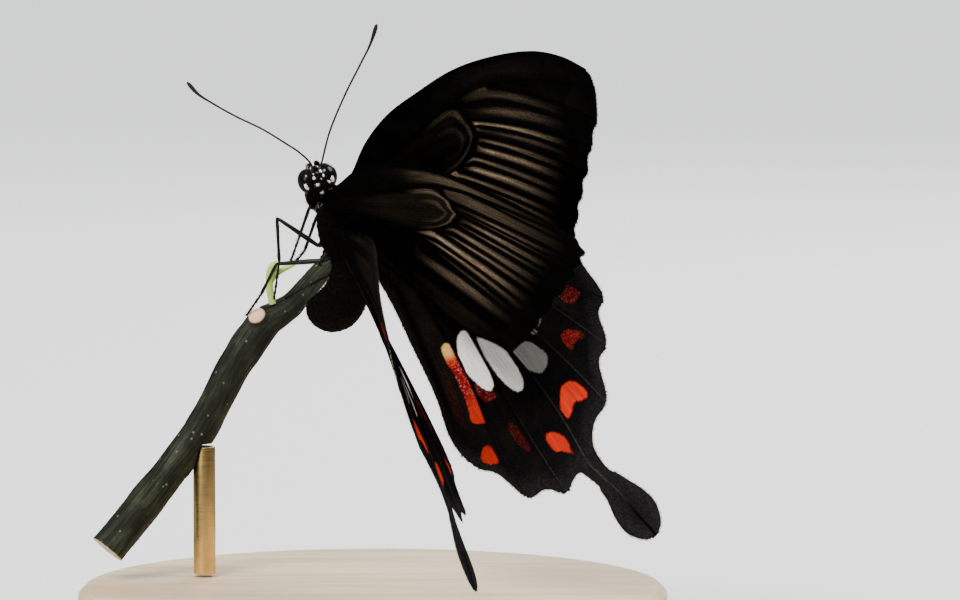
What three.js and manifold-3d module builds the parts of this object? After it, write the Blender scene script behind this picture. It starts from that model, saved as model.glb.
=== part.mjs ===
// A female swallowtail butterfly at life size, holding a cut twig with its wings raised,
// on a round stand with one rod. Millimetres, +Z up, the origin under the middle of the base.
import * as THREE from "three";
import { mergeVertices } from "three/addons/utils/BufferGeometryUtils.js";
import Module from "manifold-3d";

const wasm = await Module();
wasm.setup();

// Driving dimensions.
const gap = 0.3; // between pieces that touch
const stand = {
  baseRadius: 33,
  baseHeight: 6,
  bevel: 0.8,
  rodRadius: 1.25,
  rodX: -19.2,
  socketDepth: 1.6,
};
const thoraxPlace = [-3.8, 1.6, 46.2]; // the middle of the thorax above the stand
const leanDeg = 5; // the whole animal and its twig lean back by this
const bodyTiltDeg = 18; // the head leans to the left
const bodyRollDeg = 30; // the back turns to the right of the front
const wingThickness = 0.56;
const veinRise = 0.17; // on both faces
const veinHalfWidth = 0.36;

const colours = {
  scales: 0x17130f,
  eyes: 0x140f10,
  feelers: 0x14100c,
  legs: 0x1a150f,
  bark: 0x3b3d2c,
  leaf: 0x9fc04a,
  wood: 0xc9a877,
  brass: 0xb08d4a,
};

function finish(name, geometry, colour, roughness = 0.7, metalness = 0) {
  const material = new THREE.MeshStandardMaterial({ color: colour, roughness, metalness });
  const mesh = new THREE.Mesh(geometry, material);
  mesh.name = name;
  return mesh;
}

// A mesh as a solid for cutting and joining, and back.
function toSolid(geometry) {
  const bare = geometry.clone();
  for (const name of Object.keys(bare.attributes)) {
    if (name !== "position") bare.deleteAttribute(name);
  }
  const merged = mergeVertices(bare, 1e-4);
  const vertProperties = new Float32Array(merged.attributes.position.array);
  const triVerts = new Uint32Array(merged.index.array);
  return new wasm.Manifold(new wasm.Mesh({ numProp: 3, vertProperties, triVerts }));
}

function toGeometry(solid) {
  const largest = solid.decompose().sort((a, b) => b.volume() - a.volume())[0];
  const mesh = largest.getMesh();
  const places = new Float32Array(mesh.numVert * 3);
  for (let i = 0; i < mesh.numVert; i++) {
    places.set(mesh.vertProperties.subarray(i * mesh.numProp, i * mesh.numProp + 3), i * 3);
  }
  const geometry = new THREE.BufferGeometry();
  geometry.setAttribute("position", new THREE.BufferAttribute(places, 3));
  geometry.setIndex(new THREE.BufferAttribute(new Uint32Array(mesh.triVerts), 1));
  return geometry;
}

// The form pushed out along its own surface, to leave room around it.
function grown(geometry, by = gap) {
  const bare = geometry.clone();
  for (const name of Object.keys(bare.attributes)) {
    if (name !== "position") bare.deleteAttribute(name);
  }
  const merged = mergeVertices(bare, 1e-4);
  merged.computeVertexNormals();
  const { position, normal } = merged.attributes;
  for (let i = 0; i < position.count; i++) {
    position.setXYZ(
      i,
      position.getX(i) + by * normal.getX(i),
      position.getY(i) + by * normal.getY(i),
      position.getZ(i) + by * normal.getZ(i),
    );
  }
  merged.deleteAttribute("normal");
  return merged;
}

const cut = (geometry, ...tools) =>
  toGeometry(tools.reduce((solid, tool) => solid.subtract(toSolid(tool)), toSolid(geometry)));
const join = (...pieces) => toGeometry(pieces.map(toSolid).reduce((a, b) => a.add(b)));

// A value that runs smoothly through [place, value] knots; a value is a number or a list.
function smooth(knots, t) {
  let i = 0;
  while (i < knots.length - 2 && t > knots[i + 1][0]) i++;
  const at = (k) => knots[Math.min(Math.max(k, 0), knots.length - 1)];
  const [t0, t1] = [at(i)[0], at(i + 1)[0]];
  const s = Math.min(Math.max((t - t0) / (t1 - t0), 0), 1);
  const blend = (a, b, c, d) => {
    const slope = (p, q, r) => (r[1] - p[1]) / Math.max(r[0] - p[0], 1e-9);
    const m0 = slope(a, b, c) * (t1 - t0);
    const m1 = slope(b, c, d) * (t1 - t0);
    const s2 = s * s;
    const s3 = s2 * s;
    const places = (2 * s3 - 3 * s2 + 1) * b[1] + (3 * s2 - 2 * s3) * c[1];
    return places + (s3 - 2 * s2 + s) * m0 + (s3 - s2) * m1;
  };
  const four = [at(i - 1), at(i), at(i + 1), at(i + 2)];
  if (typeof knots[0][1] === "number") return blend(...four);
  return knots[0][1].map((_, axis) => blend(...four.map(([place, value]) => [place, value[axis]])));
}

// A closed round form along a path: radii are smooth knots from 0 at the start to 1 at the end.
// An end whose radius is near nothing comes to a point, and any other end is flat.
function stem({ path, radii, around = 10, steps = 20, flat = 1, side = null, bumps = () => 1 }) {
  const curve = new THREE.CatmullRomCurve3(path.map((p) => new THREE.Vector3(...p)), false, "centripetal");
  const frames = curve.computeFrenetFrames(steps, false);
  const places = [];
  for (let i = 0; i <= steps; i++) {
    const t = i / steps;
    const centre = curve.getPointAt(t);
    let across = frames.normals[i];
    let over = frames.binormals[i];
    if (side) {
      across = new THREE.Vector3(...side);
      over = new THREE.Vector3().crossVectors(across, frames.tangents[i]).normalize();
    }
    const radius = smooth(radii, t);
    for (let k = 0; k < around; k++) {
      const angle = (2 * Math.PI * k) / around;
      const r = radius * bumps(t, angle);
      places.push(
        centre
          .clone()
          .addScaledVector(across, r * Math.cos(angle))
          .addScaledVector(over, r * flat * Math.sin(angle)),
      );
    }
  }
  places.push(curve.getPointAt(0), curve.getPointAt(1));
  const faces = [];
  for (let k = 0; k < around; k++) {
    const next = (k + 1) % around;
    faces.push(places.length - 2, next, k);
    faces.push(places.length - 1, steps * around + k, steps * around + next);
    for (let i = 0; i < steps; i++) {
      const [a, b] = [i * around + k, i * around + next];
      const [c, d] = [a + around, b + around];
      faces.push(a, b, d, a, d, c);
    }
  }
  return closed(places, faces);
}

// Places and faces as a geometry with its faces outwards.
function closed(places, faces) {
  const geometry = new THREE.BufferGeometry();
  const numbers = places.flatMap((p) => [p.x, p.y, p.z]);
  geometry.setAttribute("position", new THREE.Float32BufferAttribute(numbers, 3));
  geometry.setIndex(faces);
  let volume = 0;
  for (let i = 0; i < faces.length; i += 3) {
    const [a, b, c] = [places[faces[i]], places[faces[i + 1]], places[faces[i + 2]]];
    volume += a.dot(new THREE.Vector3().crossVectors(b, c));
  }
  if (volume < 0) {
    for (let i = 0; i < faces.length; i += 3) [faces[i + 1], faces[i + 2]] = [faces[i + 2], faces[i + 1]];
    geometry.setIndex(faces);
  }
  return geometry;
}

// A ball with three radii.
function ball(centre, radii, across = 20, down = 14) {
  const geometry = new THREE.SphereGeometry(1, across, down);
  geometry.scale(...radii);
  geometry.translate(...centre);
  return geometry;
}

// ---------------------------------------------------------------- wings
// A wing lies flat in its own plan: x outwards from the hinge, y forwards. Its veins fan from the
// hinge to the margin. Each knot of a vein is [how far along, [x, y]]; veins that share their
// first knots are one vein up to the fork. "ridge" is how far along the raised vein starts.
const foreWing = {
  frontEdge: [[0, [-0.9, 1.5]], [0.1, [2.0, 5.4]], [0.22, [5.4, 10.4]], [0.36, [9.9, 15.4]],
    [0.5, [14.9, 19.4]], [0.62, [20.2, 23.2]], [0.74, [25.6, 26.0]], [0.86, [32.0, 28.5]],
    [0.94, [36.8, 29.5]], [1, [40.4, 29.6]]],
  rearEdge: [[0, [-0.9, -1.5]], [0.15, [4.0, -1.4]], [0.3, [9.0, -1.8]], [0.5, [15.0, -2.5]],
    [0.7, [21.0, -2.2]], [0.88, [27.0, -0.3]], [1, [30.4, 1.3]]],
  veins: [
    { knots: [[0, [-0.9, 1.0]], [0.58, [19.9, 19.6]], [0.7, [25.0, 22.8]], [1, [41.7, 28.3]]],
      ridge: 0, bow: 0.5 },
    { knots: [[0, [-0.9, 1.0]], [0.58, [19.9, 19.6]], [0.7, [25.0, 22.8]], [1, [41.6, 24.9]]],
      ridge: 0.7, bow: 0.3 },
    { knots: [[0, [-0.9, 0.6]], [0.58, [21.0, 17.5]], [1, [40.1, 21.4]]], ridge: 0.58, bow: 0.3 },
    { knots: [[0, [-0.9, 0.2]], [0.58, [21.7, 15.6]], [1, [38.7, 17.8]]], ridge: 0.58, bow: 0.2 },
    { knots: [[0, [-0.9, -0.3]], [0.36, [13.3, 6.1]], [0.5, [17.2, 9.3]], [0.58, [20.4, 12.7]],
      [1, [36.9, 14.1]]],
      ridge: 0, bow: 0 },
    { knots: [[0, [-0.9, -0.3]], [0.36, [13.3, 6.1]], [0.5, [17.2, 9.3]], [1, [35.0, 9.9]]],
      ridge: 0.5, bow: 0 },
    { knots: [[0, [-0.9, -0.3]], [0.36, [13.3, 6.1]], [1, [33.1, 6.0]]], ridge: 0.36, bow: 0 },
    { knots: [[0, [-0.9, -0.9]], [0.36, [10.5, 0.2]], [1, [31.3, 2.8]]], ridge: 0, bow: -0.4 },
  ],
  rows: [0, 0.1, 0.22, 0.36, 0.5, 0.58, 0.7, 0.8, 0.91, 1],
  cell: { along: 0.58, from: 0, to: 4 },
  betweenVeins: [0.5],
  notch: [0, 0.1, 0.4, 0.5, 0.5, 0.5, 0.4, 0.2, 0],
  camberPlace: (x, y) => [x / 30, (y - 0.35 * x) / 12],
};

const hindWing = {
  frontEdge: [[0, [-0.9, 1.5]], [0.14, [3.4, 0.8]], [0.36, [9.5, -1.0]], [0.66, [17.2, -3.2]],
    [0.9, [22.8, -5.6]], [1, [24.5, -7.3]]],
  rearEdge: [[0, [-0.9, -1.5]], [0.14, [0.3, -4.2]], [0.35, [1.8, -9.0]], [0.55, [3.0, -14.6]],
    [0.75, [4.3, -20.9]], [0.9, [4.7, -25.6]], [1, [5.6, -28.4]]],
  veins: [
    { knots: [[0, [-0.9, 1.0]], [0.32, [8.0, -1.9]], [1, [24.9, -9.0]]], ridge: 0, bow: 0.5 },
    { knots: [[0, [-0.9, 0.5]], [0.32, [7.4, -3.6]], [1, [26.5, -16.8]]], ridge: 0, bow: 0.6 },
    { knots: [[0, [-0.9, 0.5]], [0.32, [7.4, -3.6]], [0.5, [13.8, -9.2]], [1, [25.6, -22.1]]],
      ridge: 0.32, bow: 0.4 },
    { knots: [[0, [-0.9, 0.0]], [0.5, [13.8, -12.6]], [1, [24.2, -28.5]]], ridge: 0.5, bow: 0.4 },
    { knots: [[0, [-0.9, -0.5]], [0.32, [5.4, -9.2]], [0.44, [9.6, -13.9]], [0.5, [12.5, -15.7]],
      [1, [20.5, -34.2]]], ridge: 0, bow: 0.8, tail: true },
    { knots: [[0, [-0.9, -0.5]], [0.32, [5.4, -9.2]], [0.44, [9.6, -13.9]], [1, [17.3, -36.9]]],
      ridge: 0.44, bow: -0.3 },
    { knots: [[0, [-0.9, -0.5]], [0.32, [5.4, -9.2]], [0.55, [8.4, -18.4]], [0.78, [9.7, -26.6]],
      [1, [12.3, -35.7]]], ridge: 0.32, bow: 0 },
    { knots: [[0, [-0.9, -1.0]], [0.32, [3.1, -8.2]], [1, [6.5, -29.8]]], ridge: 0, bow: 0 },
  ],
  rows: [0, 0.1, 0.2, 0.32, 0.44, 0.5, 0.62, 0.76, 0.91, 1],
  cell: { along: 0.5, from: 2, to: 4 },
  betweenVeins: [0.32, 0.68],
  notch: [0, 1.2, 1.2, 1.5, 1.0, 0.3, 1.1, 1.4, 0],
  tail: {
    knots: [[0, [20.5, -34.2]], [0.22, [21.9, -36.3]], [0.4, [23.1, -38.0]], [0.58, [24.15, -39.9]],
      [0.78, [25.2, -41.9]], [0.92, [26.1, -43.5]], [1, [26.7, -44.6]]],
    halfWidth: [[0, 1.8], [0.22, 1.3], [0.4, 1.55], [0.58, 2.15], [0.78, 2.35], [0.92, 1.7], [1, 0.8]],
    neckHalfWidth: 1.8,
  },
  camberPlace: (x, y) => [-y / 30, (x + 0.55 * y) / 12],
};

const crossVein = 0.012; // half the cell's end vein, as a share of the wing

// The four wings as they are held. Angles are in degrees: "raise" from level towards upright, "twist"
// lifts the front edge, "sweep" turns the wing backwards. Camber is in mm: along the wing,
// twisting outwards, across it growing outwards, twisting at the tip, and across it.
const hinges = { fore: [1.6, 2.3, 2.14], hind: [1.6, -1.1, 1.08] };
const poses = {
  forewing_right: { plan: foreWing, hinge: hinges.fore, raise: 79.9, twist: 36.2, sweep: 28.5,
    camber: [4.09, -2.91, -1.59, 0.65, 0.61] },
  forewing_left: { plan: foreWing, hinge: hinges.fore, raise: 86.2, twist: -22.4, sweep: 48.4,
    camber: [-0.21, 1.27, -2.1, 0.23, -0.12] },
  hindwing_right: { plan: hindWing, hinge: hinges.hind, raise: 47.4, twist: -14.9, sweep: -0.3,
    camber: [2.17, 2.49, -1.15, -0.82, 0.12] },
  hindwing_left: { plan: hindWing, hinge: hinges.hind, raise: 65.6, twist: -6.8, sweep: -8.1,
    camber: [-1.91, -3.21, -1.2, 0.65, 1.24] },
};

// A place along a vein, straight between its knots and bowed a little on its last stretch.
function alongVein({ knots, bow }, t) {
  let i = 0;
  while (i < knots.length - 2 && t > knots[i + 1][0]) i++;
  const [[t0, a], [t1, b]] = [knots[i], knots[i + 1]];
  const s = (t - t0) / (t1 - t0);
  const lift = i === knots.length - 2 ? 4 * s * (1 - s) * bow : 0;
  const length = Math.hypot(b[0] - a[0], b[1] - a[1]);
  return [
    a[0] + s * (b[0] - a[0]) - (lift * (b[1] - a[1])) / length,
    a[1] + s * (b[1] - a[1]) + (lift * (b[0] - a[0])) / length,
  ];
}

const between = (a, b, s) => [a[0] + s * (b[0] - a[0]), a[1] + s * (b[1] - a[1])];
const distance = (a, b) => Math.hypot(b[0] - a[0], b[1] - a[1]);
const ease = (from, to, t) => THREE.MathUtils.smoothstep(t, from, to);

// The lines of a wing from front to rear. Each gives its place and its rise at any row.
function wingLines(plan) {
  const spaces = plan.veins.length + 1;
  const vein = (i, t) => {
    if (i < 0) return smooth(plan.frontEdge, t);
    if (i >= plan.veins.length) return smooth(plan.rearEdge, t);
    return alongVein(plan.veins[i], t);
  };
  // a line between two veins, drawn in at the margin
  const space = (i, share, t) => {
    const [a, b] = [vein(i - 1, t), vein(i, t)];
    const p = between(a, b, share);
    const inwards = plan.notch[i] * Math.sin(Math.PI * share) * ease(0.9, 1, t);
    const before = between(vein(i - 1, t - 0.05), vein(i, t - 0.05), share);
    const step = Math.max(distance(before, p), 1e-6);
    return [p[0] + ((before[0] - p[0]) * inwards) / step, p[1] + ((before[1] - p[1]) * inwards) / step];
  };
  const nearVein = (i, way, reach) => (t) => {
    const [first, last] = [plan.betweenVeins[0], plan.betweenVeins.at(-1)];
    const neighbour = way < 0 ? space(i, last, t) : space(i + 1, first, t);
    const here = vein(i, t);
    const far = distance(here, neighbour);
    return between(here, neighbour, far < 1e-6 ? 0 : Math.min(reach(t) / far, 0.6));
  };
  const cellRise = (i, t) => {
    const inCell = i >= plan.cell.from && i <= plan.cell.to;
    return inCell && Math.abs(t - plan.cell.along) < 1e-6 ? veinRise : 0;
  };
  const veinLift = (i, t) => {
    const { ridge } = plan.veins[i];
    const grown = ridge === 0 ? 1 : ease(ridge - 0.03, ridge + 0.01, t);
    return veinRise * grown * (1 - 0.6 * ease(0.9, 1, t));
  };
  const lines = [{ place: (t) => vein(-1, t), rise: () => veinRise * 0.8 }];
  for (let i = 0; i < spaces; i++) {
    for (const share of plan.betweenVeins) {
      const crossed = i - 1 >= plan.cell.from && i <= plan.cell.to;
      lines.push({
        place: (t) => space(i, share, t),
        rise: (t) => (crossed ? cellRise(i, t) : 0),
      });
    }
    if (i === plan.veins.length) break;
    const width = () => veinHalfWidth;
    const open = (t) => THREE.MathUtils.lerp(0.7, plan.tail?.neckHalfWidth ?? 0, ease(0.8, 1, t));
    const { tail } = plan.veins[i];
    if (tail) lines.push({ place: nearVein(i, -1, open), rise: (t) => cellRise(i, t) });
    const riseBefore = (t) => cellRise(i, t) * (i > plan.cell.from ? 1 : 0);
    const riseAfter = (t) => cellRise(i, t) * (i < plan.cell.to ? 1 : 0);
    lines.push({ place: nearVein(i, -1, width), rise: riseBefore });
    lines.push({ place: (t) => vein(i, t), rise: (t) => Math.max(veinLift(i, t), cellRise(i, t)), tail });
    lines.push({ place: nearVein(i, 1, width), rise: riseAfter });
    if (tail) lines.push({ place: nearVein(i, 1, open), rise: () => 0 });
  }
  lines.push({ place: (t) => vein(plan.veins.length, t), rise: () => 0.05 });
  return lines;
}

// A sheet of even thickness from a plan of lines, with the same triangles on both faces, raised
// along its veins, and bent out of its plane by its camber.
function wingGeometry(plan, camber) {
  const lines = wingLines(plan);
  const cellEnd = [plan.cell.along - crossVein, plan.cell.along + crossVein];
  const along = [...plan.rows, ...cellEnd].sort((a, b) => a - b);
  const spots = [];
  const index = new Map();
  const spot = ([x, y], rise) => {
    const key = `${x.toFixed(3)},${y.toFixed(3)}`;
    if (!index.has(key)) {
      index.set(key, spots.length);
      spots.push({ x, y, rise });
    }
    const found = spots[index.get(key)];
    found.rise = Math.max(found.rise, rise);
    return index.get(key);
  };
  const grid = lines.map((line) => along.map((t) => spot(line.place(t), line.rise(t))));
  const triangles = [];
  const triangle = (a, b, c) => {
    if (a !== b && b !== c && c !== a) triangles.push([a, b, c]);
  };
  for (let j = 0; j < lines.length - 1; j++) {
    for (let i = 0; i < along.length - 1; i++) {
      const [a, b] = [grid[j][i], grid[j][i + 1]];
      const [c, d] = [grid[j + 1][i], grid[j + 1][i + 1]];
      triangle(a, b, d);
      triangle(a, d, c);
    }
  }
  if (plan.tail) {
    const middle = lines.findIndex((line) => line.tail);
    let last = [-2, -1, 0, 1, 2].map((k) => grid[middle + k].at(-1));
    const steps = 8;
    for (let i = 1; i <= steps; i++) {
      const t = i / steps;
      const centre = smooth(plan.tail.knots, t);
      const before = smooth(plan.tail.knots, t - 0.02);
      const length = distance(before, centre);
      const side = [-(centre[1] - before[1]) / length, (centre[0] - before[0]) / length];
      const half = smooth(plan.tail.halfWidth, t);
      const round = i === steps ? 0.35 : 0;
      const next = [1, veinHalfWidth / half, 0, -veinHalfWidth / half, -1].map((s) => {
        const back = Math.abs(s) === 1 ? round : 0;
        const x = centre[0] + side[0] * half * s - side[1] * back;
        const y = centre[1] + side[1] * half * s + side[0] * back;
        return spot([x, y], s === 0 ? veinRise * (1 - t) : 0);
      });
      for (let k = 0; k < 4; k++) {
        triangle(last[k], next[k], next[k + 1]);
        triangle(last[k], next[k + 1], last[k + 1]);
      }
      last = next;
    }
  }
  return thicken(spots, triangles, (x, y) => bend(plan, camber, x, y));
}

function bend(plan, [along, twist, growing, tipTwist, across], x, y) {
  const [u, v] = plan.camberPlace(x, y);
  return along * u * u + twist * u * v + growing * v * v * u + tipTwist * u * u * v + across * v * v;
}

function thicken(spots, triangles, height) {
  const step = 0.01;
  const places = [];
  for (const way of [1, -1]) {
    for (const { x, y, rise } of spots) {
      const z = height(x, y);
      const normal = new THREE.Vector3(
        (z - height(x + step, y)) / step,
        (z - height(x, y + step)) / step,
        1,
      ).normalize();
      places.push(new THREE.Vector3(x, y, z).addScaledVector(normal, way * (wingThickness / 2 + rise)));
    }
  }
  const count = spots.length;
  const faces = [];
  const edges = new Map();
  for (const [a, b, c] of triangles) {
    faces.push(a, b, c, a + count, c + count, b + count);
    for (const [p, q] of [[a, b], [b, c], [c, a]]) {
      if (edges.has(`${q},${p}`)) edges.delete(`${q},${p}`);
      else edges.set(`${p},${q}`, [p, q]);
    }
  }
  for (const [p, q] of edges.values()) faces.push(q, p, p + count, q, p + count, q + count);
  return closed(places, faces);
}

// ---------------------------------------------------------------- body
// The body's own frame: x to its right side, y forwards, z out of its back.
const rightwards = [1, 0, 0];

const thoraxForm = () =>
  stem({
    path: [[0, -3.9, -0.35], [0, -1.5, 0.05], [0, 1.5, 0.05], [0, 3.2, -0.4], [0, 3.9, -0.6]],
    radii: [[0, 0.9], [0.06, 1.6], [0.2, 2.3], [0.42, 2.55], [0.66, 2.25], [0.82, 1.8], [0.94, 1.7],
      [1, 1.35]],
    around: 20,
    steps: 16,
    side: rightwards,
  });

// The head is rolled to its left, about its own length.
const headRollDeg = -26;
const headAxisHeight = -1.3;
function rolled(geometry) {
  geometry.translate(0, 0, -headAxisHeight);
  geometry.rotateY(THREE.MathUtils.degToRad(headRollDeg));
  return geometry.translate(0, 0, headAxisHeight);
}

const headForm = () =>
  join(
    stem({
      path: [[0, 3.6, -0.6], [0, 4.8, -0.9], [0, 6.0, -1.3], [0, 7.4, -1.5]],
      radii: [[0, 1.75], [0.2, 1.85], [0.36, 1.5], [0.5, 1.15], [0.65, 1.0], [0.88, 0.85], [1, 0.4]],
      around: 18,
      steps: 10,
      flat: 1.12,
      side: rightwards,
    }),
    ball([0, 6.0, -2.1], [0.9, 1.0, 0.9], 14, 8),
  );

const eye = { x: 1.08, y: 5.86, z: -1.3, radii: [1.2, 1.45, 1.3] };
const eyeForm = (way) => rolled(ball([way * eye.x, eye.y, eye.z], eye.radii, 16, 10));

const antennaPaths = {
  left: [[-0.7, 6.5, -1.0], [-0.8, 7.5, -0.2], [-1.84, 9.11, 0.01], [-3.3, 10.66, 0.09],
    [-5.71, 12.88, 0.42], [-8.61, 15.12, 0.72], [-11.08, 17.21, 1.13], [-12.66, 18.59, 1.61],
    [-13.78, 20.18, 2.12]],
  right: [[0.1, 6.5, -0.7], [0.5, 7.4, -0.1], [1.29, 10.39, 2.5], [2.66, 13.61, 5.84], [3.94, 16.18, 8.89],
    [4.8, 17.89, 10.88], [5.36, 19.8, 12.83]],
};
const antennaForm = (sideName) =>
  stem({
    path: antennaPaths[sideName],
    radii: [[0, 0.28], [0.08, 0.25], [0.7, 0.25], [0.84, 0.3], [0.93, 0.38], [0.985, 0.3], [1, 0.06]],
    around: 6,
    steps: 26,
  });

const palpPath = [[0.45, 6.3, -2.5], [0.5, 6.95, -2.85], [0.5, 7.4, -2.6], [0.42, 7.6, -2.1]];
const palpForm = (way) =>
  stem({
    path: palpPath.map(([x, y, z]) => [way * x, y, z]),
    radii: [[0, 0.3], [0.45, 0.36], [0.8, 0.3], [1, 0.06]],
    around: 8,
    steps: 8,
  });

// The coiled tongue under the head, as a flat spiral in the body's middle plane.
const tongue = { centre: [0, 4.0, -4.0], outer: 1.35, inner: 0.42, turns: 1.3, startDeg: 42, radius: 0.26 };
function tongueForm() {
  const path = [[0, 6.3, -2.8]];
  const points = 14;
  for (let i = 0; i <= points; i++) {
    const s = i / points;
    const angle = THREE.MathUtils.degToRad(tongue.startDeg) - s * tongue.turns * 2 * Math.PI;
    const r = THREE.MathUtils.lerp(tongue.outer, tongue.inner, s);
    path.push([0, tongue.centre[1] + r * Math.cos(angle), tongue.centre[2] + r * Math.sin(angle)]);
  }
  const radii = [[0, tongue.radius], [0.9, tongue.radius], [1, 0.12]];
  return stem({ path, radii, around: 6, steps: 30, side: rightwards });
}

// Overlapping rings: each of the abdomen's segments swells a little towards its rear edge.
const abdomenSegments = 8;
const abdomenForm = () =>
  stem({
    path: [[0, -2.4, -0.5], [0, -4.4, -1.2], [-0.1, -6.4, -2.1], [-0.3, -8.0, -4.0], [-0.45, -8.6, -6.5],
      [-0.45, -8.1, -9.1], [-0.4, -7.1, -10.8]],
    radii: [[0, 1.3], [0.14, 1.75], [0.3, 2.35], [0.5, 2.8], [0.7, 2.65], [0.86, 2.0], [0.96, 1.25],
      [1, 0.6]],
    around: 20,
    steps: 24,
    side: rightwards,
    bumps: (t) => 1 + 0.035 * (((t * abdomenSegments + 0.2) % 1) - 0.5),
  });

// Each leg: the hip lies inside the thorax, then knee, ankle and foot, with the thigh, shin and foot
// thinning outwards.
const legs = {
  foreleg_left: [[-0.8, 2.2, -1.2], [-1.0, 2.9, -2.3], [-0.95, 3.1, -3.4], [-1.69, 0.22, -6.61],
    [-2.3, -2.0, -9.1]],
  foreleg_right: [[0.8, 2.2, -1.2], [1.2, 2.5, -3.2], [1.0, 1.9, -6.1], [-0.5, -1.28, -8.4],
    [-1.65, -2.3, -9.5]],
  midleg_left: [[-1.0, -0.9, -1.2], [-1.9, -1.4, -2.4], [-4.84, 3.05, -4.27], [-4.19, -1.69, -8.19],
    [-4.4, -6.2, -12.5]],
  midleg_right: [[1.0, -0.6, -1.2], [1.9, -0.9, -3.0], [2.3, -1.0, -7.2], [2.5, -2.2, -9.9],
    [2.8, -3.6, -12.7]],
  hindleg_left: [[-0.9, -2.6, -1.0], [-1.9, -3.1, -2.4], [-5.6, -1.81, -6.32], [-6.6, -4.5, -10.2],
    [-7.7, -6.3, -13.2]],
  hindleg_right: [[0.9, -1.9, -1.2], [0.9, -3.0, -3.4], [0.0, -4.7, -4.9], [-1.75, -5.2, -7.4],
    [-2.7, -5.75, -12.4]],
};
const legForm = (points) => {
  const fine = [];
  for (let i = 0; i < points.length - 1; i++) {
    for (const s of [0, 0.12, 0.88]) {
      fine.push(points[i].map((v, axis) => v + s * (points[i + 1][axis] - v)));
    }
  }
  fine.push(points.at(-1));
  return stem({
    path: fine,
    radii: [[0, 0.42], [0.25, 0.4], [0.45, 0.34], [0.55, 0.3], [0.7, 0.32], [0.8, 0.26], [0.97, 0.25],
      [1, 0.16]],
    around: 6,
    steps: 18,
  });
};

// ---------------------------------------------------------------- twig and stand
// The twig in the leaning frame about the thorax: a thick cut length, a knot, and a thinner shoot
// that runs on behind the body.
const twigPath = [[-26.2, 5.2, -36.4], [-21.4, 6.4, -30.4], [-15.9, 7.8, -22.9], [-11.4, 8.6, -14.8],
  [-8.6, 9.2, -10.9], [-5.7, 10.8, -8.9], [-2.3, 12.8, -5.0], [0.6, 14.3, -2.3]];
// Low swellings of the bark: each one's height, and how it turns around and along the twig.
const barkRipples = [[0.035, 3, 9], [0.025, 2, 31], [0.03, 5, -17]];
function barkSwelling(t, angle) {
  const heights = barkRipples.map(([height, around, along]) => height * Math.sin(around * angle + along * t));
  return 1 + heights.reduce((a, b) => a + b);
}
const twigForm = () =>
  stem({
    path: twigPath,
    radii: [[0, 2.15], [0.3, 2.0], [0.56, 1.95], [0.66, 2.15], [0.73, 1.75], [0.8, 1.45], [1, 1.25]],
    around: 14,
    steps: 28,
    bumps: barkSwelling,
  });
const scarForm = () =>
  stem({
    path: [[-8.6, 8.8, -11.2], [-9.3, 7.6, -10.2], [-9.6, 6.9, -9.7]],
    radii: [[0, 1.1], [0.6, 1.15], [0.9, 0.95], [1, 0.5]],
    around: 12,
    steps: 6,
  });
const sproutForm = () =>
  join(
    stem({
      path: [[-7.7, 8.3, -8.7], [-8.0, 7.7, -6.9], [-7.9, 7.0, -5.4], [-7.5, 6.4, -4.4], [-6.7, 6.2, -3.9]],
      radii: [[0, 0.42], [0.45, 0.45], [0.75, 0.55], [0.92, 0.4], [1, 0.08]],
      around: 8,
      steps: 12,
      flat: 0.75,
    }),
    stem({
      path: [[-8.0, 7.5, -6.6], [-7.3, 7.5, -5.4], [-6.3, 7.4, -4.7], [-5.1, 7.4, -4.3]],
      radii: [[0, 0.3], [0.4, 0.42], [0.75, 0.4], [1, 0.08]],
      around: 8,
      steps: 10,
      flat: 0.75,
    }),
  );

function standBase() {
  const { baseRadius: r, baseHeight: h, bevel: b } = stand;
  const profile = [[0, 0], [r - b / 2, 0], [r, b / 2], [r, h - b], [r - b, h], [0, h]];
  const geometry = new THREE.LatheGeometry(profile.map(([x, y]) => new THREE.Vector2(x, y)), 64);
  return geometry.rotateX(Math.PI / 2);
}

// ---------------------------------------------------------------- assembly
const butterfly = new THREE.Group();
const leaning = new THREE.Group();
leaning.position.set(...thoraxPlace);
leaning.rotation.x = THREE.MathUtils.degToRad(-leanDeg);
butterfly.add(leaning);

const body = new THREE.Group();
body.rotation.set(...[90, -bodyTiltDeg, bodyRollDeg].map(THREE.MathUtils.degToRad), "YZX");
leaning.add(body);

const thorax = thoraxForm();
const thoraxRoom = grown(thorax);
const head = rolled(headForm());
const headRoom = grown(head);
const cleanEdge = 0.02;
const socketed = (way) => {
  const inHead = toSolid(cut(eyeForm(way), headRoom, thoraxRoom));
  return toGeometry(inHead.simplify(cleanEdge));
};
const eyes = { left: socketed(-1), right: socketed(1) };
const eyeRooms = [grown(eyeForm(-1)), grown(eyeForm(1))];
body.add(finish("thorax", thorax, colours.scales, 0.85));
const abdomen = cut(abdomenForm(), thoraxRoom);
const abdomenRoom = grown(abdomen);
body.add(finish("abdomen", abdomen, colours.scales, 0.7));
body.add(finish("head", cut(head, thoraxRoom), colours.scales, 0.8));
body.add(finish("proboscis", cut(tongueForm(), headRoom, thoraxRoom, ...eyeRooms), colours.feelers, 0.5));

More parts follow.
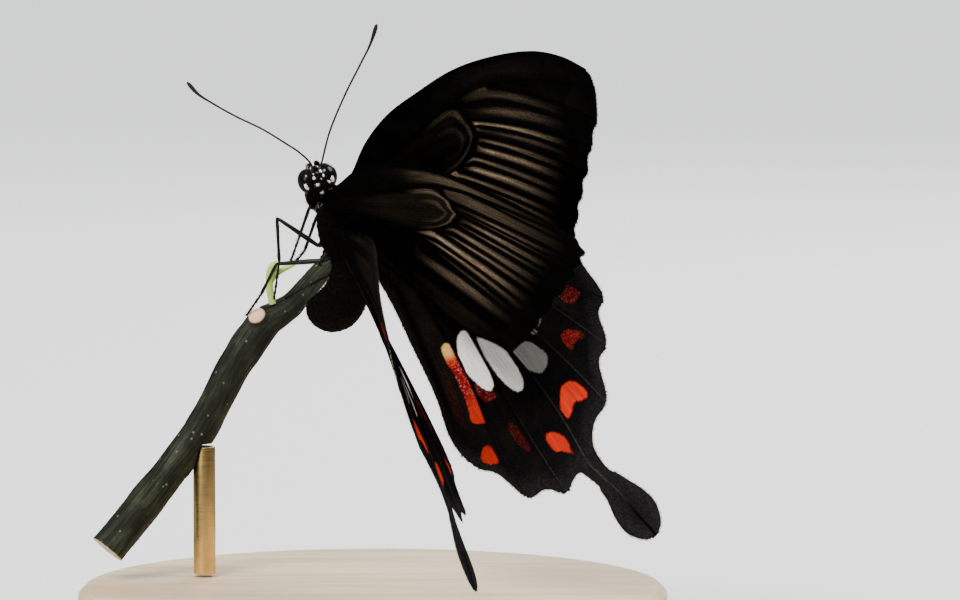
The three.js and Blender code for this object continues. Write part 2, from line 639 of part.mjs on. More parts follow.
for (const [sideName, way] of [["left", -1], ["right", 1]]) {
  body.add(finish(`eye_${sideName}`, eyes[sideName], colours.eyes, 0.15));
  const antenna = cut(antennaForm(sideName), headRoom, ...eyeRooms);
  body.add(finish(`antenna_${sideName}`, antenna, colours.feelers, 0.6));
  const palp = cut(rolled(palpForm(way)), headRoom, ...eyeRooms);
  body.add(finish(`palp_${sideName}`, palp, colours.scales, 0.8));
  const half = new THREE.Group();
  half.scale.x = way;
  body.add(half);
  for (const pair of ["forewing", "hindwing"]) {
    const name = `${pair}_${sideName}`;
    const { plan, hinge, raise, twist, sweep, camber } = poses[name];
    const wing = new THREE.Group();
    wing.position.set(...hinge);
    wing.rotation.set(...[twist, -raise, -sweep].map(THREE.MathUtils.degToRad), "YXZ");
    wing.updateMatrix();
    const room = thoraxRoom.clone().applyMatrix4(wing.matrix.clone().invert());
    wing.add(finish(name, cut(wingGeometry(plan, camber), room), colours.scales, 0.75));
    half.add(wing);
  }
}

// The feet end just off the twig and its shoot.
body.updateMatrix();
const perch = join(twigForm(), scarForm());
const perchRoom = grown(perch);
const shoot = cut(sproutForm(), perchRoom);
const fromBody = body.matrix.clone().invert();
const footRooms = [perchRoom, grown(shoot)].map((room) => room.clone().applyMatrix4(fromBody));
for (const [name, points] of Object.entries(legs)) {
  const leg = cut(legForm(points), thoraxRoom, headRoom, abdomenRoom, ...footRooms);
  body.add(finish(name, leg, colours.legs, 0.6));
}

// The twig stands on the rod, whose top sits in a socket bored up into it.
leaning.updateMatrix();
const twig = perch.applyMatrix4(leaning.matrix);
const rodTop = findUnderside(twig, stand.rodX);
const rodLength = rodTop.height + stand.socketDepth - stand.baseHeight - gap;
const rod = new THREE.CylinderGeometry(stand.rodRadius, stand.rodRadius, rodLength, 20);
rod.rotateX(Math.PI / 2);
rod.translate(stand.rodX, rodTop.y, stand.baseHeight + gap + rodLength / 2);
const boreRadius = stand.rodRadius + gap;
const bore = new THREE.CylinderGeometry(boreRadius, boreRadius, rodLength + 2 * gap, 20);
bore.rotateX(Math.PI / 2);
bore.translate(stand.rodX, rodTop.y, stand.baseHeight + gap + rodLength / 2);
butterfly.add(finish("perch_twig", cut(twig, bore), colours.bark, 0.9));
butterfly.add(finish("stand_rod", rod, colours.brass, 0.35, 1));
butterfly.add(finish("stand_base", standBase(), colours.wood, 0.55));
leaning.add(finish("perch_shoot", shoot, colours.leaf, 0.6));

// Where the twig's underside is at one x: the height of its lowest place and its depth there.
function findUnderside(geometry, x) {
  const places = geometry.attributes.position;
  let lowest = { height: Infinity, y: 0 };
  for (let i = 0; i < places.count; i++) {
    const near = Math.abs(places.getX(i) - x) < 1.2;
    if (near && places.getZ(i) < lowest.height) lowest = { height: places.getZ(i), y: places.getY(i) };
  }
  return lowest;
}

export default butterfly;
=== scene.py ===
import math

import bmesh
import bpy
import numpy as np
from mathutils import Matrix, Vector, noise


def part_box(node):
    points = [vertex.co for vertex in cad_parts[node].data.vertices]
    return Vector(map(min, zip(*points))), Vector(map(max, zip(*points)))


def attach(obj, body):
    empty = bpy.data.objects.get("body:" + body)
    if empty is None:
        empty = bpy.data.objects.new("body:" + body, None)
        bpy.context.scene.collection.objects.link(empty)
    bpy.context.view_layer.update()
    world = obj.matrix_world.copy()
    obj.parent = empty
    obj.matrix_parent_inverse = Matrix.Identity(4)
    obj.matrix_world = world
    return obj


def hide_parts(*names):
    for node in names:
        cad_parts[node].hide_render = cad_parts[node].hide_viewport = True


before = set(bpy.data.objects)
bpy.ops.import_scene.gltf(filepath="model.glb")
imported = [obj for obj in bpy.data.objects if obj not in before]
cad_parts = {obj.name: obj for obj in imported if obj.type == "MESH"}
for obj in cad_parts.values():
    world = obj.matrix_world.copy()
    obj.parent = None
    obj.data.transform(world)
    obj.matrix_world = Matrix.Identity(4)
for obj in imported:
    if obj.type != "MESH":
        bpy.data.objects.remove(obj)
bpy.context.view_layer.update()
scene = bpy.context.scene
mm = 0.001

# ---- where things are: the thorax above the stand, how the twig leans, how the body is turned
placing = {"thorax": (-3.8, 1.6, 46.2), "lean": 5, "bodyTilt": 18, "bodyRoll": 30}


def turned(degrees, axis):
    return Matrix.Rotation(math.radians(degrees), 4, axis)


inMetres = Matrix.Scale(mm, 4)
leaning = inMetres @ Matrix.Translation(placing["thorax"]) @ turned(-placing["lean"], "X")
bodyFrame = (
    leaning
    @ turned(-placing["bodyTilt"], "Y")
    @ turned(placing["bodyRoll"], "Z")
    @ turned(90, "X")
)


def placedBy(matrix, places):
    table = np.array(matrix)
    return np.asarray(places, float) @ table[:3, :3].T + table[:3, 3]


# Places in the scene as the body's own millimetres, and a way in the body as one in the scene
def inBodyFrame(places):
    return placedBy(bodyFrame.inverted(), places)


def inBodyWay(ways):
    return np.asarray(ways) @ (np.array(bodyFrame.to_3x3()) / mm).T


# ---- meshes and objects
def addPiece(name, mesh, materials, replaced=()):
    piece = bpy.data.objects.new(name, mesh)
    scene.collection.objects.link(piece)
    for material in materials:
        mesh.materials.append(material)
    mesh.shade_smooth()
    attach(piece, "root")
    if replaced:
        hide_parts(*replaced)
    return piece


def asMesh(shape, name):
    mesh = bpy.data.meshes.new(name)
    shape.to_mesh(mesh)
    shape.free()
    return mesh


def storeValues(mesh, name, values):
    layer = mesh.attributes.new(name, "FLOAT", "POINT")
    layer.data.foreach_set("value", np.asarray(values, np.float32))


def readOff(items, key, width=1, kind=float):
    values = np.zeros(len(items) * width, kind)
    items.foreach_get(key, values)
    return values.reshape(-1, width) if width > 1 else values


def meshPlaces(mesh):
    return readOff(mesh.vertices, "co", 3)


def meshNormals(mesh):
    return readOff(mesh.vertices, "normal", 3)


def valuesOf(mesh, name):
    return readOff(mesh.attributes[name].data, "value")


def movePlaces(mesh, places):
    mesh.vertices.foreach_set("co", np.asarray(places, np.float32).ravel())
    mesh.update()


def eased(start, end, value):
    share = np.clip((np.asarray(value, float) - start) / (end - start), 0, 1)
    return share * share * (3 - 2 * share)


def unit(ways):
    return ways / np.linalg.norm(ways, axis=-1, keepdims=True)


def travelled(line):
    return np.r_[0, np.cumsum(np.linalg.norm(np.diff(line, axis=0), axis=1))]


# A value that runs smoothly through [place, value] knots
def throughKnots(knots, at):
    places = np.array([knot[0] for knot in knots], float)
    values = np.array([knot[1] for knot in knots], float).reshape(len(knots), -1)
    order = np.arange(len(knots))
    before, after = np.maximum(order - 1, 0), np.minimum(order + 1, len(knots) - 1)
    slopes = (values[after] - values[before]) / (places[after] - places[before])[:, None]
    at = np.atleast_1d(np.asarray(at, float))
    i = np.clip(np.searchsorted(places, at, "right") - 1, 0, len(knots) - 2)
    step = (places[i + 1] - places[i])[:, None]
    s = np.clip((at[:, None] - places[i][:, None]) / step, 0, 1)
    ends = (2 * s**3 - 3 * s**2 + 1) * values[i] + (3 * s**2 - 2 * s**3) * values[i + 1]
    return ends + step * ((s**3 - 2 * s**2 + s) * slopes[i] + (s**3 - s**2) * slopes[i + 1])


# The ways nearest to the given ones that are square to some other way
def squareTo(other, ways):
    return unit(ways - (ways * other).sum(1)[:, None] * other)


# Evenly spaced places on one smooth curve through the points
def curveThrough(points, count):
    points = np.asarray(points, float)
    spans = np.linalg.norm(np.diff(points, axis=0), axis=1) ** 0.5
    knots = np.r_[0, np.cumsum(spans)]
    fine = np.linspace(0, knots[-1], count * 6)
    line = throughKnots(list(zip(knots, points.tolist())), fine)
    way = travelled(line)
    even = np.linspace(0, way[-1], count)
    return np.stack([np.interp(even, way, line[:, axis]) for axis in range(3)], 1)


# The nearest place of a line: how far along it lies, the way the line runs there, and the place
def nearLine(places, line, batch=4000):
    ways = unit(np.gradient(line, axis=0))
    nearest = np.concatenate([
        ((places[start : start + batch, None] - line[None]) ** 2).sum(2).argmin(1)
        for start in range(0, len(places), batch)
    ])
    return travelled(line)[nearest], ways[nearest], line[nearest]


# Adds a mesh to a shape and lets go of it
def addMesh(shape, mesh):
    shape.from_mesh(mesh)
    bpy.data.meshes.remove(mesh)


# A round tube of changing radius, its ends closed
def addTube(shape, places, radii, around):
    curve = bpy.data.curves.new("tube", "CURVE")
    curve.dimensions = "3D"
    curve.bevel_depth = 1
    curve.bevel_resolution = max(around // 4 - 1, 1)
    curve.use_fill_caps = True
    line = curve.splines.new("POLY")
    line.points.add(len(places) - 1)
    for point, place, radius in zip(line.points, places, radii):
        point.co = (*place, 1)
        point.radius = radius
    holder = bpy.data.objects.new("tube", curve)
    scene.collection.objects.link(holder)
    addMesh(shape, bpy.data.meshes.new_from_object(holder))
    bpy.data.objects.remove(holder)
    bpy.data.curves.remove(curve)


# A CAD node's mesh with its loose triangles joined
def mergedNode(name):
    part = bmesh.new()
    part.from_mesh(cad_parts[name].data)
    bmesh.ops.remove_doubles(part, verts=part.verts, dist=1e-6)
    return part


# The same form in small even faces, softened
def remeshed(shape, name, voxel, rounds):
    holder = bpy.data.objects.new(name, asMesh(shape, name))
    scene.collection.objects.link(holder)
    remesh = holder.modifiers.new("even faces", "REMESH")
    remesh.mode = "VOXEL"
    remesh.voxel_size = voxel * mm
    smooth = holder.modifiers.new("soften", "SMOOTH")
    smooth.iterations = rounds
    mesh = bpy.data.meshes.new_from_object(holder.evaluated_get(bpy.context.evaluated_depsgraph_get()))
    bpy.data.objects.remove(holder)
    return mesh


# ---- node building: short words for making and wiring the nodes of one material or group
class Nodes:
    def __init__(self, tree):
        self.tree = tree

    def add(self, kind, inputs=None, **settings):
        node = self.tree.nodes.new(kind)
        for name, value in settings.items():
            setattr(node, name, value)
        for socket, value in (inputs or {}).items():
            self.give(node.inputs[socket], value)
        return node

    def give(self, socket, value):
        if isinstance(value, bpy.types.NodeSocket):
            self.tree.links.new(value, socket)
        else:
            socket.default_value = value

    def maths(self, operation, first, second=0.0):
        node = self.add("ShaderNodeMath", operation=operation)
        self.give(node.inputs[0], first)
        self.give(node.inputs[1], second)
        return node.outputs[0]

    def plus(self, first, second):
        return self.maths("ADD", first, second)

    def minus(self, first, second):
        return self.maths("SUBTRACT", first, second)

    def times(self, first, *others):
        for other in others:
            first = self.maths("MULTIPLY", first, other)
        return first

    def between(self, value, low, high, lowest=0.0, highest=1.0):
        node = self.add("ShaderNodeMapRange", interpolation_type="SMOOTHSTEP")
        for socket, given in zip(node.inputs, (value, low, high, lowest, highest)):
            self.give(socket, given)
        return node.outputs[0]

    def mix(self, share, first, second):
        node = self.add("ShaderNodeMix", data_type="RGBA")
        self.give(node.inputs[0], share)
        self.give(node.inputs[6], first)
        self.give(node.inputs[7], second)
        return node.outputs[2]

    def noise(self, vector, size, detail=3.0, roughness=0.55):
        inputs = {"Vector": vector, "Scale": 1 / size, "Detail": detail, "Roughness": roughness}
        return self.add("ShaderNodeTexNoise", inputs).outputs["Fac"]

    def attribute(self, name):
        return self.add("ShaderNodeAttribute", attribute_name=name).outputs["Fac"]

    def object(self):
        return self.add("ShaderNodeTexCoord").outputs["Object"]

    def stretched(self, vector, turn, scale):
        node = self.add("ShaderNodeMapping", {"Vector": vector, "Rotation": turn, "Scale": scale})
        return node.outputs[0]

    def spots(self, vector, scale):
        return self.add("ShaderNodeTexVoronoi", {"Vector": vector, "Scale": scale}, feature="F1").outputs

    def group(self, tree, inputs):
        return self.add("ShaderNodeGroup", inputs, node_tree=tree).outputs

    # A material's finish: its colour, how rough it is, and the small relief that catches the light
    def finish(self, colour, roughness=None, height=None, depth=0.0, strength=1.0):
        shader = self.tree.nodes["Principled BSDF"].inputs
        self.give(shader["Base Color"], colour)
        if roughness is not None:
            self.give(shader["Roughness"], roughness)
        if height is not None:
            relief = {"Height": height, "Distance": depth, "Strength": strength}
            self.give(shader["Normal"], self.add("ShaderNodeBump", relief).outputs[0])


def newGroup(name, inputs, outputs):
    tree = bpy.data.node_groups.new(name, "ShaderNodeTree")
    for label, kind, value in inputs:
        socket = tree.interface.new_socket(label, in_out="INPUT", socket_type=kind)
        if value is not None:
            socket.default_value = value
    for label, kind in outputs:
        tree.interface.new_socket(label, in_out="OUTPUT", socket_type=kind)
    nodes = Nodes(tree)
    entry = nodes.add("NodeGroupInput").outputs
    leave = nodes.add("NodeGroupOutput").inputs
    return tree, nodes, entry, leave


def newMaterial(name, colour, roughness, constants=None):
    material = bpy.data.materials.new(name)
    material.use_nodes = True
    material.diffuse_color = colour
    shader = material.node_tree.nodes["Principled BSDF"].inputs
    for socket, value in {"Base Color": colour, "Roughness": roughness, **(constants or {})}.items():
        shader[socket].default_value = value
    return material, Nodes(material.node_tree)


# Rows of tiny overlapping scales: a light and dark grain and its height
def makeScaleGrain():
    group, nodes, entry, leave = newGroup(
        "scale_grain",
        [("Place", "NodeSocketVector", None), ("Size", "NodeSocketFloat", 0.00012)],
        [("Grain", "NodeSocketFloat"), ("Mottle", "NodeSocketFloat"), ("Height", "NodeSocketFloat")],
    )
    place = entry["Place"]
    perScale = nodes.maths("DIVIDE", 1.0, entry["Size"])
    cells = nodes.spots(place, perScale)
    single = nodes.add("ShaderNodeSeparateColor", {"Color": cells["Color"]}).outputs[0]
    fine = nodes.noise(place, 0.00045, 4.0, 0.65)
    broad = nodes.noise(place, 0.0035, 3.0)
    nodes.give(leave["Grain"], nodes.times(single, nodes.between(fine, 0.3, 0.7, 0.55, 1.0)))
    nodes.give(leave["Mottle"], broad)
    nodes.give(leave["Height"], nodes.plus(nodes.times(single, 0.5), fine))
    return group


scaleGrain = makeScaleGrain()

# ---- stage, lights and camera
staging = {
    "floor": (0.68, 0.685, 0.67, 1),
    "floorSize": 14.0,
    "horizon": (0.3, 0.31, 0.32, 1),
    "zenith": (1.5, 1.56, 1.65, 1),
    "mirroredSky": 0.25,
    "mirroredFloor": (0.14, 0.14, 0.14, 1),
    "camera": (0.01198, -0.69618, 0.09897),
    "cameraTilt": 85,
    "lens": 234.7,
    "sensor": 36,
}


def addLight(name, kind, place, target, strength, size, colour=(1, 1, 1)):
    data = bpy.data.lights.new(name, kind)
    data.energy = strength
    data.color = colour
    if kind == "AREA":
        data.shape = "DISK"
        data.size = size
    else:
        data.angle = math.radians(size)
    lamp = bpy.data.objects.new(name, data)
    lamp.location = place
    lamp.rotation_euler = (Vector(target) - Vector(place)).to_track_quat("-Z", "Y").to_euler()
    scene.collection.objects.link(lamp)


def makeStage():
    shape = bmesh.new()
    bmesh.ops.create_grid(shape, x_segments=1, y_segments=1, size=staging["floorSize"] / 2)
    floor = bpy.data.objects.new("floor", asMesh(shape, "floor"))
    scene.collection.objects.link(floor)
    paint, nodes = newMaterial("floor_paint", staging["floor"], 0.85)
    speckle = nodes.noise(nodes.object(), 0.4, 2.0)
    dim = tuple(value * 0.97 for value in staging["floor"][:3]) + (1,)
    mirrored = nodes.add("ShaderNodeLightPath").outputs["Is Glossy Ray"]
    nodes.finish(nodes.mix(mirrored, nodes.mix(speckle, staging["floor"], dim), staging["mirroredFloor"]))
    floor.data.materials.append(paint)
    world = bpy.data.worlds.new("studio")
    world.use_nodes = True
    sky = Nodes(world.node_tree)
    upwards = sky.add("ShaderNodeSeparateXYZ", {"Vector": sky.add("ShaderNodeTexCoord").outputs["Generated"]})
    height = sky.between(upwards.outputs["Z"], -0.15, 0.85)
    background = world.node_tree.nodes["Background"].inputs
    sky.give(background["Color"], sky.mix(height, staging["horizon"], staging["zenith"]))
    mirrored = sky.add("ShaderNodeLightPath").outputs["Is Glossy Ray"]
    sky.give(background["Strength"], sky.between(mirrored, 0.0, 1.0, 1.0, staging["mirroredSky"]))
    scene.world = world
    middle = (0.008, 0, 0.04)
    addLight("key", "SUN", (-0.6, -1.2, 1.5), middle, 3.6, 24, (1, 0.97, 0.93))
    addLight("fill", "AREA", (-0.45, -0.55, 0.30), middle, 1.6, 0.35)
    addLight("sheen", "AREA", (0.42, -0.06, 0.62), middle, 5.5, 0.5)
    addLight("rim", "AREA", (0.2, 0.6, 0.45), middle, 2.5, 0.4)
    lens = bpy.data.cameras.new("camera")
    lens.lens = staging["lens"]
    lens.sensor_width = staging["sensor"]
    lens.clip_start = 0.01
    lens.clip_end = 50
    camera = bpy.data.objects.new("camera", lens)
    camera.location = staging["camera"]
    camera.rotation_euler = (math.radians(staging["cameraTilt"]), 0, 0)
    scene.collection.objects.link(camera)
    scene.camera = camera


makeStage()
print("stage ready")

# ---- wings: a plan in flat millimetres, x outwards from the hinge and y forwards
# Each knot is [how far along, [x, y]]; "ridge" is how far along the raised vein starts.
foreWing = {
    "frontEdge": [[0, [-0.9, 1.5]], [0.1, [2.0, 5.4]], [0.22, [5.4, 10.4]], [0.36, [9.9, 15.4]],
                  [0.5, [14.9, 19.4]], [0.62, [20.2, 23.2]], [0.74, [25.6, 26.0]], [0.86, [32.0, 28.5]],
                  [0.94, [36.8, 29.5]], [1, [40.4, 29.6]]],
    "rearEdge": [[0, [-0.9, -1.5]], [0.15, [4.0, -1.4]], [0.3, [9.0, -1.8]], [0.5, [15.0, -2.5]],
                 [0.7, [21.0, -2.2]], [0.88, [27.0, -0.3]], [1, [30.4, 1.3]]],
    "veins": [
        {"knots": [[0, [-0.9, 1.0]], [0.58, [19.9, 19.6]], [0.7, [25.0, 22.8]], [1, [41.7, 28.3]]],
         "ridge": 0, "bow": 0.5},
        {"knots": [[0, [-0.9, 1.0]], [0.58, [19.9, 19.6]], [0.7, [25.0, 22.8]], [1, [41.6, 24.9]]],
         "ridge": 0.7, "bow": 0.3},
        {"knots": [[0, [-0.9, 0.6]], [0.58, [21.0, 17.5]], [1, [40.1, 21.4]]], "ridge": 0.58, "bow": 0.3},
        {"knots": [[0, [-0.9, 0.2]], [0.58, [21.7, 15.6]], [1, [38.7, 17.8]]], "ridge": 0.58, "bow": 0.2},
        {"knots": [[0, [-0.9, -0.3]], [0.36, [13.3, 6.1]], [0.5, [17.2, 9.3]], [0.58, [20.4, 12.7]],
                   [1, [36.9, 14.1]]], "ridge": 0, "bow": 0},
        {"knots": [[0, [-0.9, -0.3]], [0.36, [13.3, 6.1]], [0.5, [17.2, 9.3]], [1, [35.0, 9.9]]],
         "ridge": 0.5, "bow": 0},
        {"knots": [[0, [-0.9, -0.3]], [0.36, [13.3, 6.1]], [1, [33.1, 6.0]]], "ridge": 0.36, "bow": 0},
        {"knots": [[0, [-0.9, -0.9]], [0.36, [10.5, 0.2]], [1, [31.3, 2.8]]], "ridge": 0, "bow": -0.4},
    ],
    "cell": {"along": 0.58, "front": 0, "rear": 4},
    "notch": [0, 0.1, 0.4, 0.5, 0.5, 0.5, 0.4, 0.2, 0],
    "notchLean": 1,
    "tipRounding": (0.14, 1.0),
    "camberPlace": lambda x, y: (x / 30, (y - 0.35 * x) / 12),
}

hindWing = {
    "frontEdge": [[0, [-0.9, 1.5]], [0.14, [3.4, 0.8]], [0.36, [9.5, -1.0]], [0.66, [17.2, -3.2]],
                  [0.9, [22.8, -5.6]], [1, [24.5, -7.3]]],
    "rearEdge": [[0, [-0.9, -1.5]], [0.14, [0.3, -4.2]], [0.35, [1.8, -9.0]], [0.55, [3.0, -14.6]],
                 [0.75, [4.3, -20.9]], [0.9, [4.7, -25.6]], [1, [5.6, -28.4]]],
    "veins": [
        {"knots": [[0, [-0.9, 1.0]], [0.32, [8.0, -1.9]], [1, [24.9, -9.0]]], "ridge": 0, "bow": 0.5},
        {"knots": [[0, [-0.9, 0.5]], [0.32, [7.4, -3.6]], [1, [26.5, -16.8]]], "ridge": 0, "bow": 0.6},
        {"knots": [[0, [-0.9, 0.5]], [0.32, [7.4, -3.6]], [0.5, [13.8, -9.2]], [1, [25.6, -22.1]]],
         "ridge": 0.32, "bow": 0.4},
        {"knots": [[0, [-0.9, 0.0]], [0.5, [13.8, -12.6]], [1, [24.2, -28.5]]], "ridge": 0.5, "bow": 0.4},
        {"knots": [[0, [-0.9, -0.5]], [0.32, [5.4, -9.2]], [0.44, [9.6, -13.9]], [0.5, [12.5, -15.7]],
                   [1, [20.5, -34.2]]], "ridge": 0, "bow": 0.8},
        {"knots": [[0, [-0.9, -0.5]], [0.32, [5.4, -9.2]], [0.44, [9.6, -13.9]], [1, [17.3, -36.9]]],
         "ridge": 0.44, "bow": -0.3},
        {"knots": [[0, [-0.9, -0.5]], [0.32, [5.4, -9.2]], [0.55, [8.4, -18.4]], [0.78, [9.7, -26.6]],
                   [1, [12.3, -35.7]]], "ridge": 0.32, "bow": 0},
        {"knots": [[0, [-0.9, -1.0]], [0.32, [3.1, -8.2]], [1, [6.5, -29.8]]], "ridge": 0, "bow": 0},
    ],
    "cell": {"along": 0.5, "front": 2, "rear": 4},
    "notch": [0, 1.2, 1.2, 1.5, 1.0, 0.3, 1.1, 1.4, 0],
    "notchLean": 0.8,  # under 1 the notch lies nearer the space's front vein
    "tipRounding": (0.42, 1.9),
    "tailVein": 4,
    "tail": {
        "knots": [[0, [20.5, -34.2]], [0.22, [21.9, -36.3]], [0.4, [23.1, -38.0]], [0.58, [24.15, -39.9]],
                  [0.78, [25.2, -41.9]], [0.92, [26.1, -43.5]], [1, [26.7, -44.6]]],
        "halfWidth": [[0, 1.8], [0.22, 1.3], [0.4, 1.55], [0.58, 2.15], [0.78, 2.35], [0.92, 1.7],
                      [0.98, 0.9], [1, 0.25]],
        "neck": [0.7, 1.8],  # how wide the lines gather beside the tail's vein, growing over:
        "neckOver": (0.8, 1),
        "neckLines": (0.05, 0.11, 0.2, 0.34, 0.5, 0.67, 0.84, 1),
        "steps": 34,
        "blend": 3.4,
        "blendRounds": 14,
        "paleUntil": (0.35, 0.75),
    },
    "camberPlace": lambda x, y: (-y / 30, (x + 0.55 * y) / 12),
}

# How each wing is held: degrees, and camber in mm
hinges = {"fore": (1.6, 2.3, 2.14), "hind": (1.6, -1.1, 1.08)}
wings = {
    "forewing_right": {"plan": foreWing, "hinge": hinges["fore"], "raise": 79.9, "twist": 36.2,
                       "sweep": 28.5, "camber": (4.09, -2.91, -1.59, 0.65, 0.61), "side": 1},
    "forewing_left": {"plan": foreWing, "hinge": hinges["fore"], "raise": 86.2, "twist": -22.4,
                      "sweep": 48.4, "camber": (-0.21, 1.27, -2.1, 0.23, -0.12), "side": -1},
    "hindwing_right": {"plan": hindWing, "hinge": hinges["hind"], "raise": 47.4, "twist": -14.9,
                       "sweep": -0.3, "camber": (2.17, 2.49, -1.15, -0.82, 0.12), "side": 1},
    "hindwing_left": {"plan": hindWing, "hinge": hinges["hind"], "raise": 65.6, "twist": -6.8,
                      "sweep": -8.1, "camber": (-1.91, -3.21, -1.2, 0.65, 1.24), "side": -1},
}

wingDetail = {
    "nearVein": (0.09, 0.2, 0.36),  # lines that follow each vein
    "midLines": 8,
    "stations": 118,
    "kinkRounding": 0.015,
    "pleat": 0.09,
    "thickness": 0.5,  # at the thickest veins
    "membrane": 0.34,  # as a share of that
    "veinWidth": 0.13,
    "veinRoom": 0.7,  # the lines beside the veins take up at most this share of a space
    "marginFrom": 0.88,  # from here on the stations lie closer
    "marginShare": 0.24,
    "cellSteps": (-0.008, -0.003, 0, 0.003, 0.008),
    "notchFrom": 0.9,
    "inwards": 0.05,  # the step along the wing that gives the way in from the margin
    "marginVein": 0.05,
    "atMargin": 0.4,  # the walls' share of their thickness at the margin
    "wholeFrom": 8,  # and the distance from it where they have all of it
    "hindPleat": 0.3,
    "pleatRoom": (0.6, 2.5),
    "cellSoftness": 0.9,
    "hindRim": (0.6, 1.02),
    "paleSpaces": (3, 4, 5),
    "paleElsewhere": 0.3,
}
farOff = 9.0  # further than any marking reaches


def alongVein(vein, at):
    places = np.array([knot[0] for knot in vein["knots"]], float)
    values = np.array([knot[1] for knot in vein["knots"]], float)

    def straight(t):
        return np.stack([np.interp(t, places, values[:, axis]) for axis in (0, 1)], 1)

    step = np.minimum(wingDetail["kinkRounding"], np.clip(np.minimum(at, 1 - at), 0, 1))
    line = (straight(at - step) + straight(at) * 2 + straight(at + step)) / 4
    share = np.clip((at - places[-2]) / (1 - places[-2]), 0, 1)
    last = values[-1] - values[-2]
    lift = 4 * share * (1 - share) * vein["bow"] / np.hypot(*last)
    return line + lift[:, None] * np.array([-last[1], last[0]])


# The two edges of each space between veins, at every station
def spaceEdges(plan, at):
    front = throughKnots(plan["frontEdge"], at)
    rear = throughKnots(plan["rearEdge"], at)
    lines = [front] + [alongVein(vein, at) for vein in plan["veins"]] + [rear]
    return list(zip(lines[:-1], lines[1:]))


def sharesAcross(width, frontOffsets, rearOffsets, middle):
    room = np.maximum(width, 1e-6)
    needed = frontOffsets[:, -1] + rearOffsets[:, -1]
    fit = np.minimum(1, wingDetail["veinRoom"] * room / needed)[:, None] / room[:, None]
    fronts, rears = frontOffsets * fit, 1 - rearOffsets[:, ::-1] * fit
    inner = np.linspace(0, 1, middle + 2)[1:-1]
    mids = fronts[:, -1:] + inner * (rears[:, :1] - fronts[:, -1:])
    return np.hstack([np.zeros((len(room), 1)), fronts, mids, rears])


# Every line of the wing from front to rear: its places, its space and its share across that space
def wingLines(plan, at):
    lines = []
    near = np.tile(wingDetail["nearVein"], (len(at), 1))
    nearMargin = eased(wingDetail["notchFrom"], 1, at)
    for i, (front, rear) in enumerate(spaceEdges(plan, at)):
        offsets = [near, near]
        if "tail" in plan:
            low, high = plan["tail"]["neck"]
            reach = low + (high - low) * eased(*plan["tail"]["neckOver"], at)
            neck = reach[:, None] * np.array(plan["tail"]["neckLines"])
            if i == plan["tailVein"]:
                offsets[1] = neck
            if i == plan["tailVein"] + 1:
                offsets[0] = neck
        width = np.linalg.norm(rear - front, axis=1)
        shares = sharesAcross(width, offsets[0], offsets[1], wingDetail["midLines"])
        earlier = spaceEdges(plan, at - wingDetail["inwards"])[i]
        for share in shares.T:
            place = front + share[:, None] * (rear - front)
            before = earlier[0] + share[:, None] * (earlier[1] - earlier[0])
            back = before - place
            length = np.maximum(np.linalg.norm(back, axis=1), 1e-6)
            drawnIn = plan["notch"][i] * np.sin(np.pi * share ** plan["notchLean"]) ** 2 * nearMargin
            depth, reach = plan["tipRounding"]
            sides = [share * width, (1 - share) * width]
            if "tail" in plan and i - plan["tailVein"] in (0, 1):
                sides.pop(1 if i == plan["tailVein"] else 0)
            for away in sides:
                drawnIn = drawnIn + depth * np.clip(1 - away / reach, 0, 1) ** 2 * nearMargin
            place = place + back * (drawnIn / length)[:, None]
            lines.append({"place": place, "space": i, "share": share, "width": width})
    last = len(plan["veins"])
    rear = spaceEdges(plan, at)[last][1]
    width = lines[-1]["width"]
    lines.append({"place": rear, "space": last, "share": np.ones(len(at)), "width": width})
    return lines


def wingStations(plan):
    count, start, share = (wingDetail[key] for key in ("stations", "marginFrom", "marginShare"))
    inner = np.linspace(0, start, int(count * (1 - share)))
    outer = np.linspace(start, 1, int(count * share))
    cellEnd = plan["cell"]["along"] + np.array(wingDetail["cellSteps"])
    return np.unique(np.round(np.r_[inner, outer, cellEnd], 5))


# How long a line is for each share of its way
def lengthPerShare(line, at):
    return np.linalg.norm(np.gradient(line["place"], at, axis=0), axis=1)


def besideCell(plan, line):
    return plan["cell"]["front"] < line["space"] <= plan["cell"]["rear"]


# How far the places of a line are from the cell's end and from its two walls, in mm
def cellGaps(plan, line, at, edges):
    cell = plan["cell"]
    walls = (edges[cell["front"]][1], edges[cell["rear"]][1])
    end = np.abs(at - cell["along"]) * lengthPerShare(line, at)
    return end, *(np.linalg.norm(line["place"] - wall, axis=1) for wall in walls)


# How far a place is from the nearest vein that is there, in mm
def gapToVein(plan, line, at, edges):
    i = line["space"]
    gap = np.full(len(at), farOff)
    for side, vein in ((0, i - 1), (1, i)):
        away = (line["share"] if side == 0 else 1 - line["share"]) * line["width"]
        if 0 <= vein < len(plan["veins"]):
            there = at >= plan["veins"][vein]["ridge"] - 1e-6
            gap = np.where(there, np.minimum(gap, away), gap)
        elif vein < 0:
            gap = np.minimum(gap, away + wingDetail["marginVein"])
    if besideCell(plan, line):
        end, *walls = cellGaps(plan, line, at, edges)
        for away in walls:
            gap = np.where(at < plan["cell"]["along"], np.minimum(gap, away), gap)
        gap = np.minimum(gap, end)
    return gap


def camberHeight(plan, camber, x, y):
    u, v = plan["camberPlace"](x, y)
    lengthwise, twist, growing, tipTwist, across = camber
    return (
        lengthwise * u * u
        + twist * u * v
        + growing * v * v * u
        + tipTwist * u * u * v
        + across * v * v
    )


